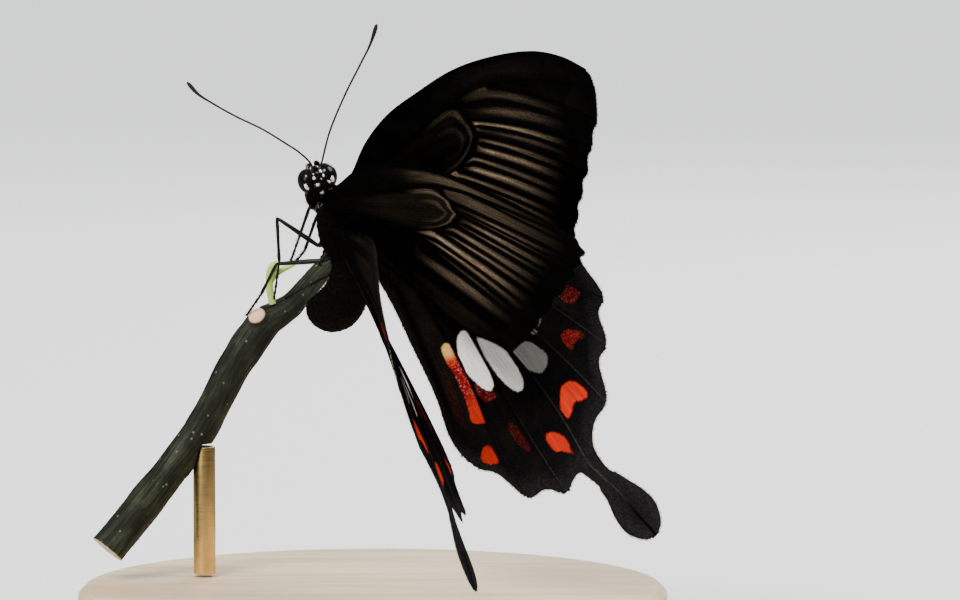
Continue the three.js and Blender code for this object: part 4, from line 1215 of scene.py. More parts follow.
# Copies of the blade on a surface: where each one's root is, in metres, the way out and the way to
# lie, and its sizes in mm and shares, each as one number or one for each tuft
def plantTufts(name, roots, out, lie, lengths, widths, lift, curl, patches, values):
    template = tuftTemplate()
    points = meshPlaces(template)
    faces = np.array([tuple(face.vertices) for face in template.polygons])
    bpy.data.meshes.remove(template)
    count, size = len(roots), len(points)
    lengths, widths, lift, curl = (
        np.broadcast_to(given, count)[:, None, None] for given in (lengths * mm, widths * mm, lift, curl)
    )
    out, lie = out[:, None, :], lie[:, None, :]
    side, up = np.cross(out, lie), points[None, :, 2:]
    along = (up * (lie + lift * out) + up**2 * (curl * -out)) * lengths
    across = points[None, :, :1] * side + points[None, :, 1:2] * out * tuft["flatness"]
    places = roots[:, None, :] + along + across * widths
    mesh = bpy.data.meshes.new(name)
    corners = (faces[None] + size * np.arange(count)[:, None, None]).reshape(-1, 3)
    mesh.from_pydata(places.reshape(-1, 3).tolist(), [], corners.tolist())
    for key, given in values.items():
        storeValues(mesh, key, np.repeat(given, size))
    storeValues(mesh, "tip", np.tile(points[:, 2], count))
    unwrap = mesh.uv_layers.new(name="OFBake")
    spread = tuft["patch"] * (points[:, :2] * 0.5 + (points[:, 2:] - 0.5) * (0, 1))
    laid = (patches[:, None, :] + spread[None]).reshape(-1, 2)
    unwrap.data.foreach_set("uv", laid[corners.ravel()].ravel())
    return mesh


# Random places on a mesh, evenly by area, with the smooth way out there and what draws the next
# random numbers
def scatter(mesh, count, seed, wanted=None):
    rng = np.random.default_rng(seed)
    mesh.calc_loop_triangles()
    corners = np.array([tuple(item.vertices) for item in mesh.loop_triangles])
    places, normals = meshPlaces(mesh), meshNormals(mesh)
    if wanted is not None:
        corners = corners[wanted[corners].all(1)]
    a, b, c = (places[corners[:, k]] for k in range(3))
    area = np.linalg.norm(np.cross(b - a, c - a), axis=1)
    picked = rng.choice(len(corners), count, p=area / area.sum())
    u, v = rng.random(count), rng.random(count)
    over = u + v > 1
    u, v = np.where(over, 1 - u, u), np.where(over, 1 - v, v)
    shares = np.stack([1 - u - v, u, v], 1)[:, :, None]
    roots = (places[corners[picked]] * shares).sum(1)
    out = (normals[corners[picked]] * shares).sum(1)
    return roots, unit(out), rng


# Scales that stand out from the wings' margins, pale in the notches, and hairs on the hindwings'
# inner margins and bases; sizes in mm
fringe = {
    "scales": {"spacing": 0.06, "length": 0.3, "width": 0.05, "outwards": 1.0},
    "hairs": {"spacing": 0.04, "length": 0.45, "width": 0.024, "outwards": 0.35},
    "stray": 0.16,
    "sweep": 0.6,  # how far they turn away from the hinge
    "sunk": 0.06,  # the roots stand this deep in the margin
    "paleFrom": (1.0, 1.5),  # this far from a vein
    "paleShare": 0.8,
    "onEdge": 0.02,
    "down": {"count": 2400, "reach": (1.5, 17), "lane": 4, "offWhite": -1.2, "length": 0.9,
             "raised": 0.07, "upperShare": 0.6},
}


# Where a tuft of the wings lies on the bake map, from its x and z
def onWingMap(roots):
    return np.stack([roots[:, 0], roots[:, 2]], 1) * 8 + 0.3


# The open edges of a wing's sheet: their two ends and the way out from the sheet
def openEdges(mesh):
    used = readOff(mesh.loops, "edge_index", 1, int)
    ends = readOff(mesh.edges, "vertices", 2, int)
    centres = readOff(mesh.polygons, "center", 3)
    sizes = readOff(mesh.polygons, "loop_total", 1, int)
    border = np.bincount(used, minlength=len(mesh.edges)) == 1
    owner = np.zeros(len(mesh.edges), int)
    owner[used] = np.repeat(np.arange(len(sizes)), sizes)
    ends = ends[border]
    places = meshPlaces(mesh)
    run = places[ends[:, 1]] - places[ends[:, 0]]
    way = places[ends].mean(1) - centres[owner[border]]
    way = way - run * ((way * run).sum(1) / np.maximum((run * run).sum(1), 1e-18))[:, None]
    return ends, way / np.maximum(np.linalg.norm(way, axis=1), 1e-12)[:, None]


# Tufts on the given open edges of a wing's sheet, pale where they are far enough from the veins
def tuftsAlong(name, mesh, kind, ends, way, rng, pale, hinge):
    row = fringe[kind]
    places, normals, gap = meshPlaces(mesh), meshNormals(mesh), valuesOf(mesh, "gap")
    size = np.linalg.norm(places[ends[:, 1]] - places[ends[:, 0]], axis=1)
    count = int(size.sum() / (row["spacing"] * mm))
    picked = rng.choice(len(ends), count, p=size / size.sum())
    t = rng.random(count)[:, None]
    first, second = ends[picked].T
    roots = places[first] * (1 - t) + places[second] * t
    out = normals[first] * (1 - t) + normals[second] * t
    gaps = gap[first] * (1 - t[:, 0]) + gap[second] * t[:, 0]
    away = unit(roots - hinge)
    lie = way[picked] * row["outwards"] + away * fringe["sweep"]
    lie = unit(lie + rng.normal(0, fringe["stray"], (count, 3)))
    out = squareTo(lie, out)
    values = {"tone": rng.random(count), "dot": pale * eased(*fringe["paleFrom"], gaps)}
    lengths = row["length"] * rng.uniform(0.6, 1.15, count)
    lift = rng.normal(0, 0.12, count)
    patches = onWingMap(roots)
    roots = roots - lie * fringe["sunk"] * mm
    return plantTufts(name, roots, out, lie, lengths, row["width"], lift, 0.1, patches, values)


# Longer hairs on both faces of a hindwing, from its base
def downOn(name, mesh, hinge, seed):
    row = fringe["down"]
    reach, low, high = valuesOf(mesh, "reach"), *row["reach"]
    wanted = (reach > low) & (reach < high) & (valuesOf(mesh, "lane") > row["lane"])
    wanted = wanted & (valuesOf(mesh, "white") < row["offWhite"])
    roots, out, rng = scatter(mesh, row["count"], seed, wanted)
    count = len(roots)
    out = out * np.where(rng.random(count) < row["upperShare"], 1.0, -1.0)[:, None]
    lie = squareTo(out, unit(roots - hinge) + rng.normal(0, fringe["stray"], (count, 3)))
    values = {"tone": rng.random(count), "dot": np.zeros(count)}
    lengths = row["length"] * rng.uniform(0.6, 1.2, count)
    lift = rng.uniform(0.08, 0.3, count)
    patches = onWingMap(roots)
    roots = roots + out * row["raised"] * mm
    width = fringe["hairs"]["width"]
    return plantTufts(name, roots, out, lie, lengths, width, lift, lift * 0.5, patches, values)


def makeFringe(name, seed):
    mesh, wing = wingMeshes[name], wings[name]
    hindOne = wing["plan"] is hindWing
    rng = np.random.default_rng(seed)
    ends, way = openEdges(mesh)
    hinge = placedBy(bodyFrame, [np.array(wing["hinge"]) * (wing["side"], 1, 1)])[0]
    outer = (valuesOf(mesh, "margin")[ends] < fringe["onEdge"]).all(1)
    pale = fringe["paleShare"] if hindOne else 0
    scales = tuftsAlong(name + "_fringe", mesh, "scales", ends[outer], way[outer], rng, pale, hinge)
    addPiece(name + "_fringe", scales, [fringeMaterial if hindOne else coatMaterial])
    if not hindOne:
        return
    inner = (valuesOf(mesh, "inner")[ends] < fringe["onEdge"]).all(1) & ~outer
    hairs = tuftsAlong(name + "_hairs", mesh, "hairs", ends[inner], way[inner], rng, 0, hinge)
    addPiece(name + "_hairs", hairs, [fringeMaterial])
    addPiece(name + "_down", downOn(name + "_down", mesh, hinge, seed + 5), [fringeMaterial])


# count, length and width in mm, lift off the skin, how the tip curls back, how straight it lies
coats = {
    "head": {"count": 9000, "length": 0.32, "width": 0.042, "lift": 0.5, "curl": 0.35, "stray": 0.35,
             "seed": 11},
    "thorax": {"count": 15000, "length": 0.85, "width": 0.045, "lift": 0.42, "curl": 0.35, "stray": 0.3,
               "seed": 12},
    "abdomen": {"count": 15000, "length": 0.5, "width": 0.055, "lift": 0.26, "curl": 0.2, "stray": 0.16,
                "seed": 13},
}
coatChanges = {
    "face": (6.2, 7.4),  # over these y the hair changes by this share
    "onFace": -0.3,
    "beard": (-2.0, -3.2),  # and over these z by this one
    "inBeard": 0.25,
    "tip": (-9.2, -10.8),
    "onTip": -0.35,
    "onDots": 0.2,  # the longest hair on the white dots
    "eyeRim": 1.02,  # no hair within this share of an eye's radii
    "mapLength": 26,  # the spine's length on the bake map
    "overlaps": (0.3, 0.1, 0.4),  # how far the coats reach past where head and abdomen meet the thorax
}


# Where places of the head lie in an eye's own frame, on a sphere of radius 1
def inEye(inHead, way):
    return (inHead - (way * eyes["x"], eyes["y"], eyes["z"])) / eyes["radii"]


def makeCoat(skin, part):
    coat, change = coats[part], coatChanges
    inBody = inBodyFrame(meshPlaces(skin))
    rear, inHead = inBody[:, 1], placedBy(headTurn.inverted(), inBody)
    headEnd, abdomenStart = bodyShape["headEnd"], bodyShape["abdomenStart"]
    headPast, thoraxBefore, thoraxPast = change["overlaps"]
    limits = {
        "head": rear > headEnd - headPast,
        "thorax": (rear <= headEnd + thoraxBefore) & (rear > abdomenStart - thoraxPast),
        "abdomen": rear <= abdomenStart,
    }
    eyeGap = np.minimum(*(np.linalg.norm(inEye(inHead, way), axis=1) for way in (-1, 1)))
    roots, out, rng = scatter(skin, coat["count"], coat["seed"], limits[part] & (eyeGap > change["eyeRim"]))
    count = len(roots)
    places = inBodyFrame(roots)
    along, rearwards, centre = alongSpine(places)
    lie = squareTo(out, inBodyWay(rearwards) + rng.normal(0, coat["stray"], (count, 3)))
    size = rng.uniform(0.7, 1.2, count)
    face = eased(*change["face"], places[:, 1])
    beard = eased(*change["beard"], places[:, 2]) * (places[:, 1] > abdomenStart)
    tip = eased(*change["tip"], places[:, 2])
    dots = dotShare(places)
    lengths = coat["length"] * size * (1 + change["onFace"] * face)
    lengths = lengths * (1 + change["inBeard"] * beard) * (1 + change["onTip"] * tip)
    lengths = np.where(dots > 0.5, np.minimum(lengths, change["onDots"]), lengths)
    lift = coat["lift"] * rng.uniform(0.6, 1.4, count) + change["inBeard"] * beard
    curl = coat["curl"] * rng.uniform(0.5, 1.5, count)
    widths = coat["width"] * rng.uniform(0.75, 1.25, count)
    offset = places - centre
    angle = np.arctan2(offset[:, 0], offset[:, 2])
    patches = np.stack([0.5 + angle / (2 * math.pi) * 0.96, 0.02 + along / change["mapLength"] * 0.96], 1)
    values = {"tone": rng.random(count), "dot": dots}
    name = part + "_coat"
    mesh = plantTufts(name, roots, out, lie, lengths, widths, lift, curl, patches, values)
    addPiece(name, mesh, [coatMaterial])


eyes = {"x": 1.08, "y": 5.86, "z": -1.3, "radii": (1.2, 1.45, 1.3), "facet": 0.00006,
        "orbit": (0.4, -0.42, 0.81), "orbitSize": (0.36, 0.19), "orbitTufts": 2000, "browFrom": 0.25,
        "browLow": -0.4, "hairWay": (-0.3, -1.0, 0.1), "stray": 0.15, "hairLength": 0.26,
        "hairWidth": 0.05, "hairLift": 0.3, "hairCurl": 0.3, "paleOrbit": 1.05}


def makeEyeMaterial():
    material, nodes = newMaterial("eye_lens", bodyColours["eye"], 0.13, {"Specular IOR Level": 0.2})
    place = nodes.object()
    rim = nodes.between(nodes.spots(place, 1 / eyes["facet"])["Distance"], 0.2, 0.6)
    depth = nodes.noise(place, 0.0009, 2.0)
    base = nodes.mix(nodes.between(depth, 0.45, 0.7), bodyColours["eye"], bodyColours["eyeDepth"])
    base = nodes.mix(nodes.times(rim, 0.4), base, bodyColours["black"])
    nodes.finish(base, nodes.between(rim, 0.0, 1.0, 0.05, 0.08), rim, 0.000006, 0.04)
    return material


def makeEyes():
    material = makeEyeMaterial()
    for sideName, way in (("left", -1), ("right", 1)):
        shape = bmesh.new()
        bmesh.ops.create_icosphere(shape, subdivisions=5, radius=0.985)
        bmesh.ops.scale(shape, verts=shape.verts, vec=eyes["radii"])
        bmesh.ops.translate(shape, verts=shape.verts, vec=(way * eyes["x"], eyes["y"], eyes["z"]))
        shape.transform(bodyFrame @ headTurn)
        name = "eye_" + sideName
        mesh = asMesh(shape, name)
        addPiece("dressed_" + name, mesh, [material], [name])
        makeOrbit(mesh, sideName, way)


# The hair that reaches over the inner side of each eye, and the pale scales behind it
def makeOrbit(mesh, sideName, way):
    headFrame = bodyFrame @ headTurn
    middle = unit(np.array(eyes["orbit"]) * (way, 1, 1))

    def fromMiddle(inEyeFrame):
        offset = inEyeFrame - middle
        across = np.linalg.norm(offset[:, (0, 2)], axis=1)
        return np.hypot(offset[:, 1] / eyes["orbitSize"][0], across / eyes["orbitSize"][1])

    onEye = inEye(placedBy(headFrame.inverted(), meshPlaces(mesh)), way)
    brow = (-way * onEye[:, 0] > eyes["browFrom"]) & (onEye[:, 2] > eyes["browLow"])
    roots, out, rng = scatter(mesh, eyes["orbitTufts"], 31 + way, brow | (fromMiddle(onEye) < 1))
    count = len(roots)
    rearwards = np.array(headFrame.to_3x3()) @ (np.array(eyes["hairWay"]) * (way, 1, 1)) / mm
    lie = squareTo(out, rearwards + rng.normal(0, eyes["stray"], (count, 3)))
    places = placedBy(headFrame.inverted(), roots)
    patches = np.stack([0.8 + 0.1 * (places[:, 1] - 5), 0.5 + 0.08 * (places[:, 2] + 1.3)], 1)
    pale = fromMiddle(inEye(places, way)) < eyes["paleOrbit"]
    dots = np.maximum(pale, dotShare(inBodyFrame(roots)))
    values = {"tone": rng.random(count), "dot": dots}
    lengths = eyes["hairLength"] * rng.uniform(0.7, 1.2, count)
    name = "orbit_coat_" + sideName
    coat = plantTufts(name, roots, out, lie, lengths, eyes["hairWidth"], eyes["hairLift"],
                      eyes["hairCurl"], patches, values)
    addPiece(name, coat, [coatMaterial])


for seed, name in enumerate(wings):
    makeFringe(name, 60 + 10 * seed)
skinMesh = makeSkin()
for part in coats:
    makeCoat(skinMesh, part)
addPiece("body_skin", skinMesh, [skinMaterial], ["head", "thorax", "abdomen"])
makeEyes()
print("body ready")

# ---- feelers, palps and tongue, in the body's own millimetres
feelers = {
    "left": [(-0.7, 6.5, -1.0), (-0.8, 7.5, -0.2), (-1.84, 9.11, 0.01), (-3.3, 10.66, 0.09),
             (-5.71, 12.88, 0.42), (-8.61, 15.12, 0.72), (-11.08, 17.21, 1.13), (-12.66, 18.59, 1.61),
             (-13.78, 20.18, 2.12)],
    "right": [(0.1, 6.5, -0.7), (0.5, 7.4, -0.1), (1.29, 10.39, 2.5), (2.66, 13.61, 5.84),
              (3.94, 16.18, 8.89), (4.8, 17.89, 10.88), (5.36, 19.8, 12.83)],
    "radius": [[0, 0.26], [0.02, 0.27], [0.035, 0.15], [0.1, 0.125], [0.8, 0.125], [0.88, 0.17],
               [0.95, 0.25], [0.985, 0.21], [1, 0.05]],
    "rings": 62,
    "ringDepth": 0.12,
}
palps = {
    "path": [(0.45, 6.3, -2.5), (0.5, 6.95, -2.85), (0.5, 7.4, -2.6), (0.42, 7.6, -2.1)],
    "radius": [[0, 0.2], [0.45, 0.27], [0.8, 0.22], [1, 0.05]],
    "tufts": 700,
    "lie": (0, 0.55, 0.85),  # the way the hairs point
    "stray": 0.2,
    "length": 0.36,
    "width": 0.035,
    "lift": 0.5,
    "curl": 0.3,
    "paleBelow": (-2.3, -2.8),
    "pale": 0.75,
    "darkShare": 0.35,  # of the hairs, which stay dark there
}
tongue = {"centre": (0, 4.0, -4.0), "outer": 1.35, "inner": 0.4, "turns": 1.5, "start": 42, "radius": 0.17}


def bodyTube(name, path, knots, count, around, ripple=None):
    share = np.linspace(0, 1, count)
    radii = throughKnots(knots, share)[:, 0]
    if ripple is not None:
        radii = radii * ripple(share)
    shape = bmesh.new()
    addTube(shape, curveThrough(path, count), radii, around)
    shape.transform(bodyFrame)
    bmesh.ops.remove_doubles(shape, verts=shape.verts, dist=1e-7)
    bmesh.ops.recalc_face_normals(shape, faces=shape.faces)
    return asMesh(shape, name)


def makeFeelerMaterial():
    material, nodes = newMaterial("feeler_shell", bodyColours["feeler"], 0.45)
    grain = nodes.noise(nodes.object(), 0.0003, 3.0)
    base = nodes.mix(grain, bodyColours["black"], bodyColours["feeler"])
    nodes.finish(base, nodes.between(grain, 0.2, 0.8, 0.35, 0.6), grain, 0.00002, 0.5)
    return material


def tonguePath():
    turns = np.linspace(0, 1, 60)
    angle = np.radians(tongue["start"]) - turns * tongue["turns"] * 2 * math.pi
    radius = tongue["outer"] + (tongue["inner"] - tongue["outer"]) * turns
    _, y, z = tongue["centre"]
    coil = np.stack([0 * turns, y + radius * np.cos(angle), z + radius * np.sin(angle)], 1)
    return np.vstack([[(0, 6.3, -2.8), (0, 6.05, -3.05)], coil])


def ringed(t):
    wave = np.abs(np.sin(t * feelers["rings"] * math.pi)) ** 0.5
    return 1 - feelers["ringDepth"] * (1 - wave)


def makeFeelers():
    material = makeFeelerMaterial()
    for sideName in ("left", "right"):
        name = "antenna_" + sideName
        mesh = bodyTube(name, feelers[sideName], feelers["radius"], feelers["rings"] * 5, 12, ringed)
        addPiece("dressed_" + name, mesh, [material], [name])
    coil = [[0, tongue["radius"]], [0.85, tongue["radius"] * 0.8], [1, 0.05]]
    mesh = bodyTube("proboscis", tonguePath(), coil, 240, 12)
    addPiece("dressed_proboscis", mesh, [material], ["proboscis"])


def makePalps():
    for sideName, way in (("left", -1), ("right", 1)):
        name = "palp_" + sideName
        path = placedBy(headTurn, [(way * x, y, z) for x, y, z in palps["path"]])
        mesh = bodyTube(name, path, palps["radius"], 30, 16)
        roots, out, rng = scatter(mesh, palps["tufts"], 21 + way)
        count = len(roots)
        lie = squareTo(out, inBodyWay(palps["lie"]) + rng.normal(0, palps["stray"], (count, 3)))
        places = inBodyFrame(roots)
        low = palps["pale"] * eased(*palps["paleBelow"], places[:, 2])
        patches = np.stack([0.1 + 0.1 * (places[:, 0] - way * 0.45), 0.1 + 0.1 * (places[:, 1] - 6)], 1)
        values = {"tone": rng.random(count), "dot": low * (rng.random(count) > palps["darkShare"])}
        lengths = palps["length"] * rng.uniform(0.7, 1.3, count)
        coat = plantTufts(name + "_coat", roots, out, lie, lengths, palps["width"], palps["lift"],
                          palps["curl"], patches, values)
        addPiece(name + "_coat", coat, [coatMaterial])
        storeValues(mesh, "dot", np.zeros(len(mesh.vertices)))
        addPiece("dressed_" + name, mesh, [skinMaterial], [name])


makeFeelers()
makePalps()
print("head ready")

# ---- legs: hip, trochanter, knee, ankle and foot, in the body's own millimetres
legPaths = {
    "foreleg_left": [(-0.8, 2.2, -1.2), (-1.0, 2.9, -2.3), (-0.95, 3.1, -3.4), (-1.69, 0.22, -6.61),
                     (-2.3, -2.0, -9.1)],
    "foreleg_right": [(0.8, 2.2, -1.2), (1.2, 2.5, -3.2), (1.0, 1.9, -6.1), (-0.5, -1.28, -8.4),
                      (-1.65, -2.3, -9.5)],
    "midleg_left": [(-1.0, -0.9, -1.2), (-1.9, -1.4, -2.4), (-4.84, 3.05, -4.27), (-4.19, -1.69, -8.19),
                    (-4.4, -6.2, -12.5)],
    "midleg_right": [(1.0, -0.6, -1.2), (1.9, -0.9, -3.0), (2.3, -1.0, -7.2), (2.5, -2.2, -9.9),
                     (2.8, -3.6, -12.7)],
    "hindleg_left": [(-0.9, -2.6, -1.0), (-1.9, -3.1, -2.4), (-5.6, -1.81, -6.32), (-6.6, -4.5, -10.2),
                     (-7.7, -6.3, -13.2)],
    "hindleg_right": [(0.9, -1.9, -1.2), (0.9, -3.0, -3.4), (0.0, -4.7, -4.9), (-1.75, -5.2, -7.4),
                      (-2.7, -5.75, -12.4)],
}
legShape = {
    "hip": [[0, 0.45], [0.7, 0.4], [1, 0.24]],
    "thigh": [[0, 0.22], [0.3, 0.3], [0.7, 0.25], [0.97, 0.2], [1, 0.12]],
    "shin": [[0, 0.15], [0.12, 0.2], [0.6, 0.17], [0.96, 0.2], [1, 0.12]],
    "footPart": [[0, 0.1], [0.6, 0.14], [0.94, 0.16], [1, 0.09]],
    "footParts": (0.4, 0.2, 0.15, 0.12, 0.13),
    "foot": 0.96,  # the claws take up the rest of the last reach
    "spine": 0.32,
    "spineWidth": 0.028,
    "spineRoot": 0.12,
    "spineRow": (0.12, 0.84),  # where the row starts, as a share of the limb, and its length
    "spineSide": (0.3, 0.5, 0.8),
    "shinSpines": (18, 0.75),  # how many, and how far they lean along the limb
    "footSpines": (22, 0.9),
    "claw": (0.42, 0.07),  # length and width
    "spur": (0.6, 0.045),
}


def addLimb(shape, start, end, knots):
    share = np.linspace(0, 1, 16)
    places = start + share[:, None] * (end - start)
    addTube(shape, places, throughKnots(knots, share)[:, 0], 12)


def addSpike(shape, root, way, length, width):
    bend = np.array([0.0, 0.0, -0.15]) * length
    places = np.array([root, root + way * length * 0.55, root + way * length + bend])
    addTube(shape, curveThrough(places, 6), np.linspace(width, 0.01, 6), 4)


def addSpines(shape, first, last, count, lean, rng):
    way = unit(last - first)
    across = unit(np.cross(way, legShape["spineSide"]))
    low, span = legShape["spineRow"]
    for i in range(count):
        turn = Matrix.Rotation(rng.uniform(0, 2 * math.pi), 3, Vector(way))
        out = np.array(turn @ Vector(across))
        root = first + (last - first) * (low + span * (i + 0.5) / count) + out * legShape["spineRoot"]
        size = legShape["spine"] * rng.uniform(0.7, 1.1)
        addSpike(shape, root, unit(way * lean + out * 0.6), size, legShape["spineWidth"])


def makeLeg(name, points, material, seed):
    rng = np.random.default_rng(seed)
    hip, trochanter, knee, ankle, foot = np.array(points, float)
    foot = ankle + (foot - ankle) * legShape["foot"]
    shape = bmesh.new()
    for start, end, part in ((hip, trochanter, "hip"), (trochanter, knee, "thigh"), (knee, ankle, "shin")):
        addLimb(shape, start, end, legShape[part])
    start = ankle
    for share in legShape["footParts"]:
        end = start + (foot - ankle) * share
        addLimb(shape, start, end, legShape["footPart"])
        start = end
    addSpines(shape, knee, ankle, *legShape["shinSpines"], rng)
    addSpines(shape, ankle, foot, *legShape["footSpines"], rng)
    way = unit(foot - ankle)
    across = unit(np.cross(way, (0, 0, 1)))
    for side in (-1, 1):
        addSpike(shape, foot - way * 0.08, way * 0.7 + across * side * 0.65, *legShape["claw"])
        addSpike(shape, ankle + across * side * 0.1, way * 0.85 + across * side * 0.4, *legShape["spur"])
    bmesh.ops.remove_doubles(shape, verts=shape.verts, dist=1e-5)
    bmesh.ops.recalc_face_normals(shape, faces=shape.faces)
    shape.transform(bodyFrame)
    addPiece("dressed_" + name, asMesh(shape, name), [material], [name])


def makeLegMaterial():
    material, nodes = newMaterial("leg_shell", bodyColours["legDark"], 0.4, {"Specular IOR Level": 0.2})
    place = nodes.object()
    broad, fine = nodes.noise(place, 0.002, 2.0), nodes.noise(place, 0.0002, 3.0)
    base = nodes.mix(nodes.between(broad, 0.5, 0.72), bodyColours["legDark"], bodyColours["legPale"])
    base = nodes.mix(nodes.times(fine, 0.4), base, bodyColours["black"])
    nodes.finish(base, nodes.between(fine, 0.2, 0.8, 0.26, 0.42), fine, 0.00002, 0.5)
    return material


legMaterial = makeLegMaterial()
for seed, (name, points) in enumerate(legPaths.items()):
    makeLeg(name, points, legMaterial, 40 + seed)
print("legs ready")

# ---- twig, shoot and stand
twig = {
    "voxel": 0.2,
    "path": [(-26.2, 5.2, -36.4), (-21.4, 6.4, -30.4), (-15.9, 7.8, -22.9), (-11.4, 8.6, -14.8),
             (-8.6, 9.2, -10.9), (-5.7, 10.8, -8.9), (-2.3, 12.8, -5.0), (0.6, 14.3, -2.3)],
    "scar": (-9.65, 6.85, -9.65),
    "bark": (0.011, 0.0135, 0.0065, 1),
    "moss": (0.032, 0.039, 0.018, 1),
    "crack": (0.0035, 0.0038, 0.0022, 1),
    "wood": (0.62, 0.5, 0.32, 1),
    "pith": (0.78, 0.36, 0.22, 1),
    "ring": (0.4, 0.28, 0.14, 1),
    "heart": (0.25, 0.17, 0.09, 1),
    "oldWood": (0.45, 0.33, 0.18, 1),
    "lenticel": (0.14, 0.135, 0.09, 1),
    "rounds": 3,
    "scarEdge": (1.3, 1.05),  # distances from the scar's middle
    "cutEdge": (0.35, 0.1),  # and from either end
    "cutFace": (0.75, 0.4),  # how far a cut face may lean outwards
    "furrows": 4.2,  # round the twig
    "furrowLength": 0.22,
    "relief": {"furrow": -0.1, "level": -0.05, "lump": 0.06},
    "lumpSize": 0.55,
    "rodRoom": (1.9, 2.4),  # the bark stays smooth this near to the rod
}


def makeTwig():
    mesh = remeshed(mergedNode("perch_twig"), "perch_twig", twig["voxel"], twig["rounds"])
    places, normals = meshPlaces(mesh), meshNormals(mesh)
    inTwig = placedBy(leaning.inverted(), places)
    line = curveThrough(twig["path"], 200)
    near, ways, middle = nearLine(inTwig, line)
    offset = inTwig - middle
    ahead = (offset * ways).sum(1)
    along, offset = near + ahead, offset - ahead[:, None] * ways
    radius = np.linalg.norm(offset, axis=1)
    length = travelled(line)[-1]
    angle = np.arctan2((offset * np.cross(ways, (0, 1, 0))).sum(1), offset[:, 1])
    wayOut = (offset / np.maximum(radius, 1e-6)[:, None]) @ (np.array(leaning.to_3x3()) / mm).T
    lean = np.abs((normals * wayOut).sum(1))
    outer, inner = twig["cutEdge"]
    nearEnd = np.maximum(eased(outer, inner, along), eased(length - outer, length - inner, along))
    cut = nearEnd * eased(*twig["cutFace"], lean)
    scar = eased(*twig["scarEdge"], np.linalg.norm(inTwig - twig["scar"], axis=1))
    around, lengthwise = twig["furrows"], twig["furrowLength"]
    furrow = np.array([
        noise.noise(Vector((around * math.cos(a), around * math.sin(a), s * lengthwise)))
        for a, s in zip(angle, along)
    ])
    lump = np.array([noise.noise(Vector(p) * twig["lumpSize"]) for p in inTwig.tolist()])
    share = twig["relief"]
    relief = share["furrow"] * np.abs(furrow) + share["level"] + share["lump"] * lump
    rodMiddle = np.mean(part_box("stand_rod"), axis=0)
    fromRod = np.linalg.norm((places - rodMiddle)[:, :2], axis=1) / mm
    relief = relief * (1 - np.maximum(cut, scar)) * eased(*twig["rodRoom"], fromRod)
    movePlaces(mesh, places + normals * relief[:, None] * mm)
    values = {"cut": cut, "scar": scar, "fromMiddle": radius, "turn": angle, "along": along}
    for name, given in values.items():
        storeValues(mesh, name, given)
    return mesh


def makeBark():
    material, nodes = newMaterial("twig_bark", twig["bark"], 0.7, {"Specular IOR Level": 0.14})
    place = nodes.object()
    turn, fromMiddle = nodes.attribute("turn"), nodes.attribute("fromMiddle")
    wound = nodes.add("ShaderNodeCombineXYZ", {
        "X": nodes.times(nodes.maths("COSINE", turn), 3.0),
        "Y": nodes.times(nodes.maths("SINE", turn), 3.0),
        "Z": nodes.times(nodes.attribute("along"), 0.12),
    }).outputs[0]
    lines = nodes.noise(wound, 0.5, 5.0, 0.65)
    broad = nodes.noise(place, 0.004, 3.0)
    fine = nodes.noise(place, 0.0004, 4.0, 0.6)
    base = nodes.mix(nodes.between(broad, 0.4, 0.65), twig["bark"], twig["moss"])
    base = nodes.mix(nodes.between(lines, 0.42, 0.58, 0.75, 0.0), base, twig["crack"])
    base = nodes.mix(nodes.times(fine, 0.35), base, twig["crack"])
    lenticel = nodes.between(nodes.spots(place, 900.0)["Distance"], 0.08, 0.16, 0.7, 0.0)
    base = nodes.mix(lenticel, base, twig["lenticel"])
    rings = nodes.maths("SINE", nodes.times(fromMiddle, 28.0))
    wood = nodes.mix(nodes.between(rings, -1.0, 1.0, 0.0, 0.35), twig["wood"], twig["ring"])
    wood = nodes.mix(nodes.between(fromMiddle, 0.3, 0.5, 0.8, 0.0), wood, twig["heart"])
    wood = nodes.mix(nodes.between(fine, 0.4, 0.8, 0.0, 0.5), wood, twig["oldWood"])
    base = nodes.mix(nodes.attribute("cut"), base, wood)
    base = nodes.mix(nodes.attribute("scar"), base, nodes.mix(fine, twig["pith"], twig["wood"]))
    height = nodes.plus(lines, nodes.times(fine, 0.4))
    nodes.finish(base, nodes.between(lines, 0.3, 0.7, 0.75, 0.5), height, 0.00012, 0.6)
    return material


shoot = {"green": (0.3, 0.5, 0.07, 1), "dark": (0.2, 0.4, 0.035, 1), "light": (0.5, 0.62, 0.16, 1),
         "brown": (0.3, 0.25, 0.06, 1), "voxel": 0.07, "rounds": 4}


def makeShootMaterial():
    material, nodes = newMaterial("shoot_green", shoot["green"], 0.42,
                                  {"Subsurface Weight": 0.25, "Subsurface Scale": 0.001})
    place = nodes.object()
    broad, fine = nodes.noise(place, 0.0015, 2.0), nodes.noise(place, 0.00025, 3.0)
    base = nodes.mix(broad, shoot["dark"], shoot["light"])
    base = nodes.mix(nodes.between(fine, 0.5, 0.8, 0.0, 0.3), base, shoot["brown"])
    nodes.finish(base, nodes.between(fine, 0.2, 0.8, 0.34, 0.55), fine, 0.00004, 0.5)
    return material


# The base's maple, its grain along x: the pattern is drawn out by these shares across the grain
maple = {"wood": (0.62, 0.47, 0.3, 1), "light": (0.66, 0.52, 0.35, 1), "dark": (0.54, 0.39, 0.23, 1),
         "fibre": (0.4, 0.27, 0.14, 1), "fleck": (0.36, 0.23, 0.12, 1), "turn": (0, 0, 0.5),
         "figureDraw": 9.0, "fibreDraw": 30.0, "fleckDraw": 6.0}


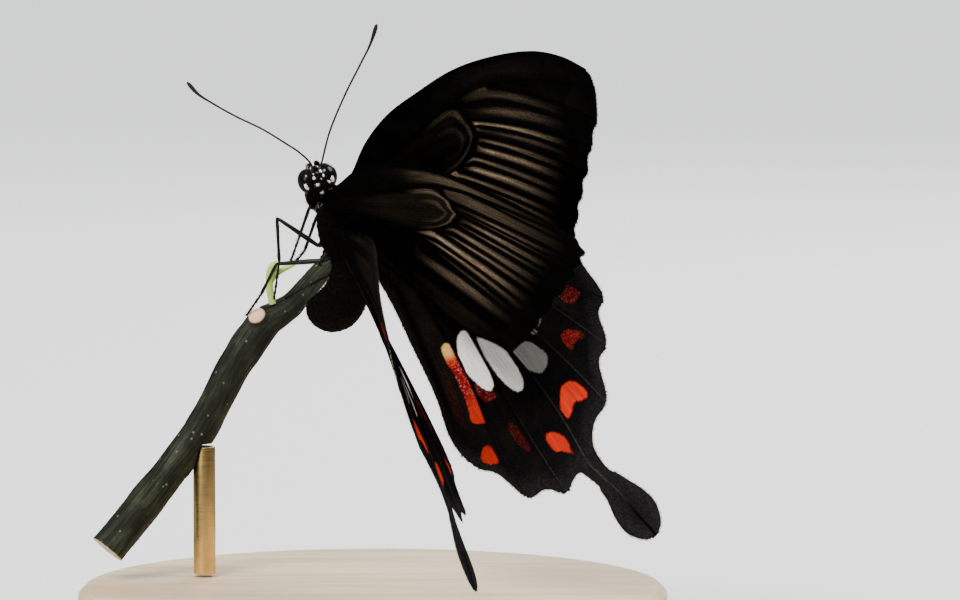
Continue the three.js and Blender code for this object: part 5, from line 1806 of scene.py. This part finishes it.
def makeMaple():
    material, nodes = newMaterial("base_maple", maple["wood"], 0.42,
                                  {"Coat Weight": 0.15, "Coat Roughness": 0.3})
    place = nodes.object()

    def drawn(key, size, detail, *roughness):
        scale = (1.0, maple[key], maple[key])
        return nodes.noise(nodes.stretched(place, maple["turn"], scale), size, detail, *roughness)

    figure = drawn("figureDraw", 0.03, 4.0, 0.6)
    fibre = drawn("fibreDraw", 0.012, 4.0, 0.6)
    flecks = drawn("fleckDraw", 0.004, 2.0)
    base = nodes.mix(nodes.between(figure, 0.35, 0.65), maple["light"], maple["dark"])
    base = nodes.mix(nodes.between(fibre, 0.45, 0.75, 0.0, 0.35), base, maple["fibre"])
    base = nodes.mix(nodes.between(flecks, 0.62, 0.7, 0.0, 0.3), base, maple["fleck"])
    nodes.finish(base, nodes.between(fibre, 0.3, 0.7, 0.36, 0.5), fibre, 0.00004, 0.3)
    return material


brass = {"metal": (0.72, 0.53, 0.24, 1), "bright": (0.66, 0.45, 0.17, 1), "dull": (0.46, 0.29, 0.1, 1),
         "segments": 64, "bevel": 0.15, "bevelSteps": 3}


def makeBrass():
    material, nodes = newMaterial("rod_brass", brass["metal"], 0.28, {"Metallic": 1})
    place = nodes.object()
    turning = nodes.noise(nodes.stretched(place, (0, 0, 0), (1, 1, 30.0)), 0.006, 2.0)
    dulling = nodes.noise(place, 0.006, 3.0)
    base = nodes.mix(nodes.between(dulling, 0.4, 0.75), brass["bright"], brass["dull"])
    nodes.finish(base, nodes.between(turning, 0.3, 0.7, 0.26, 0.36), turning, 0.000004, 0.2)
    return material


def makeRod():
    low, high = (np.array(corner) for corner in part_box("stand_rod"))
    width, _, height = high - low
    shape = bmesh.new()
    bmesh.ops.create_cone(shape, cap_ends=True, segments=brass["segments"], radius1=width / 2,
                          radius2=width / 2, depth=height)
    ends = [edge for edge in shape.edges if abs(edge.verts[0].co.z - edge.verts[1].co.z) < 1e-6]
    bmesh.ops.bevel(shape, geom=ends, offset=brass["bevel"] * mm, affect="EDGES",
                    segments=brass["bevelSteps"], profile=0.5, material=-1)
    bmesh.ops.translate(shape, verts=shape.verts, vec=(low + high) / 2)
    addPiece("dressed_stand_rod", asMesh(shape, "stand_rod"), [makeBrass()], ["stand_rod"])


def dress(node, material):
    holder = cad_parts[node]
    holder.data.materials.clear()
    holder.data.materials.append(material)


addPiece("dressed_perch_twig", makeTwig(), [makeBark()], ["perch_twig"])
shootMesh = remeshed(mergedNode("perch_shoot"), "perch_shoot", shoot["voxel"], shoot["rounds"])
addPiece("dressed_perch_shoot", shootMesh, [makeShootMaterial()], ["perch_shoot"])
dress("stand_base", makeMaple())
makeRod()
print("twig and stand ready")
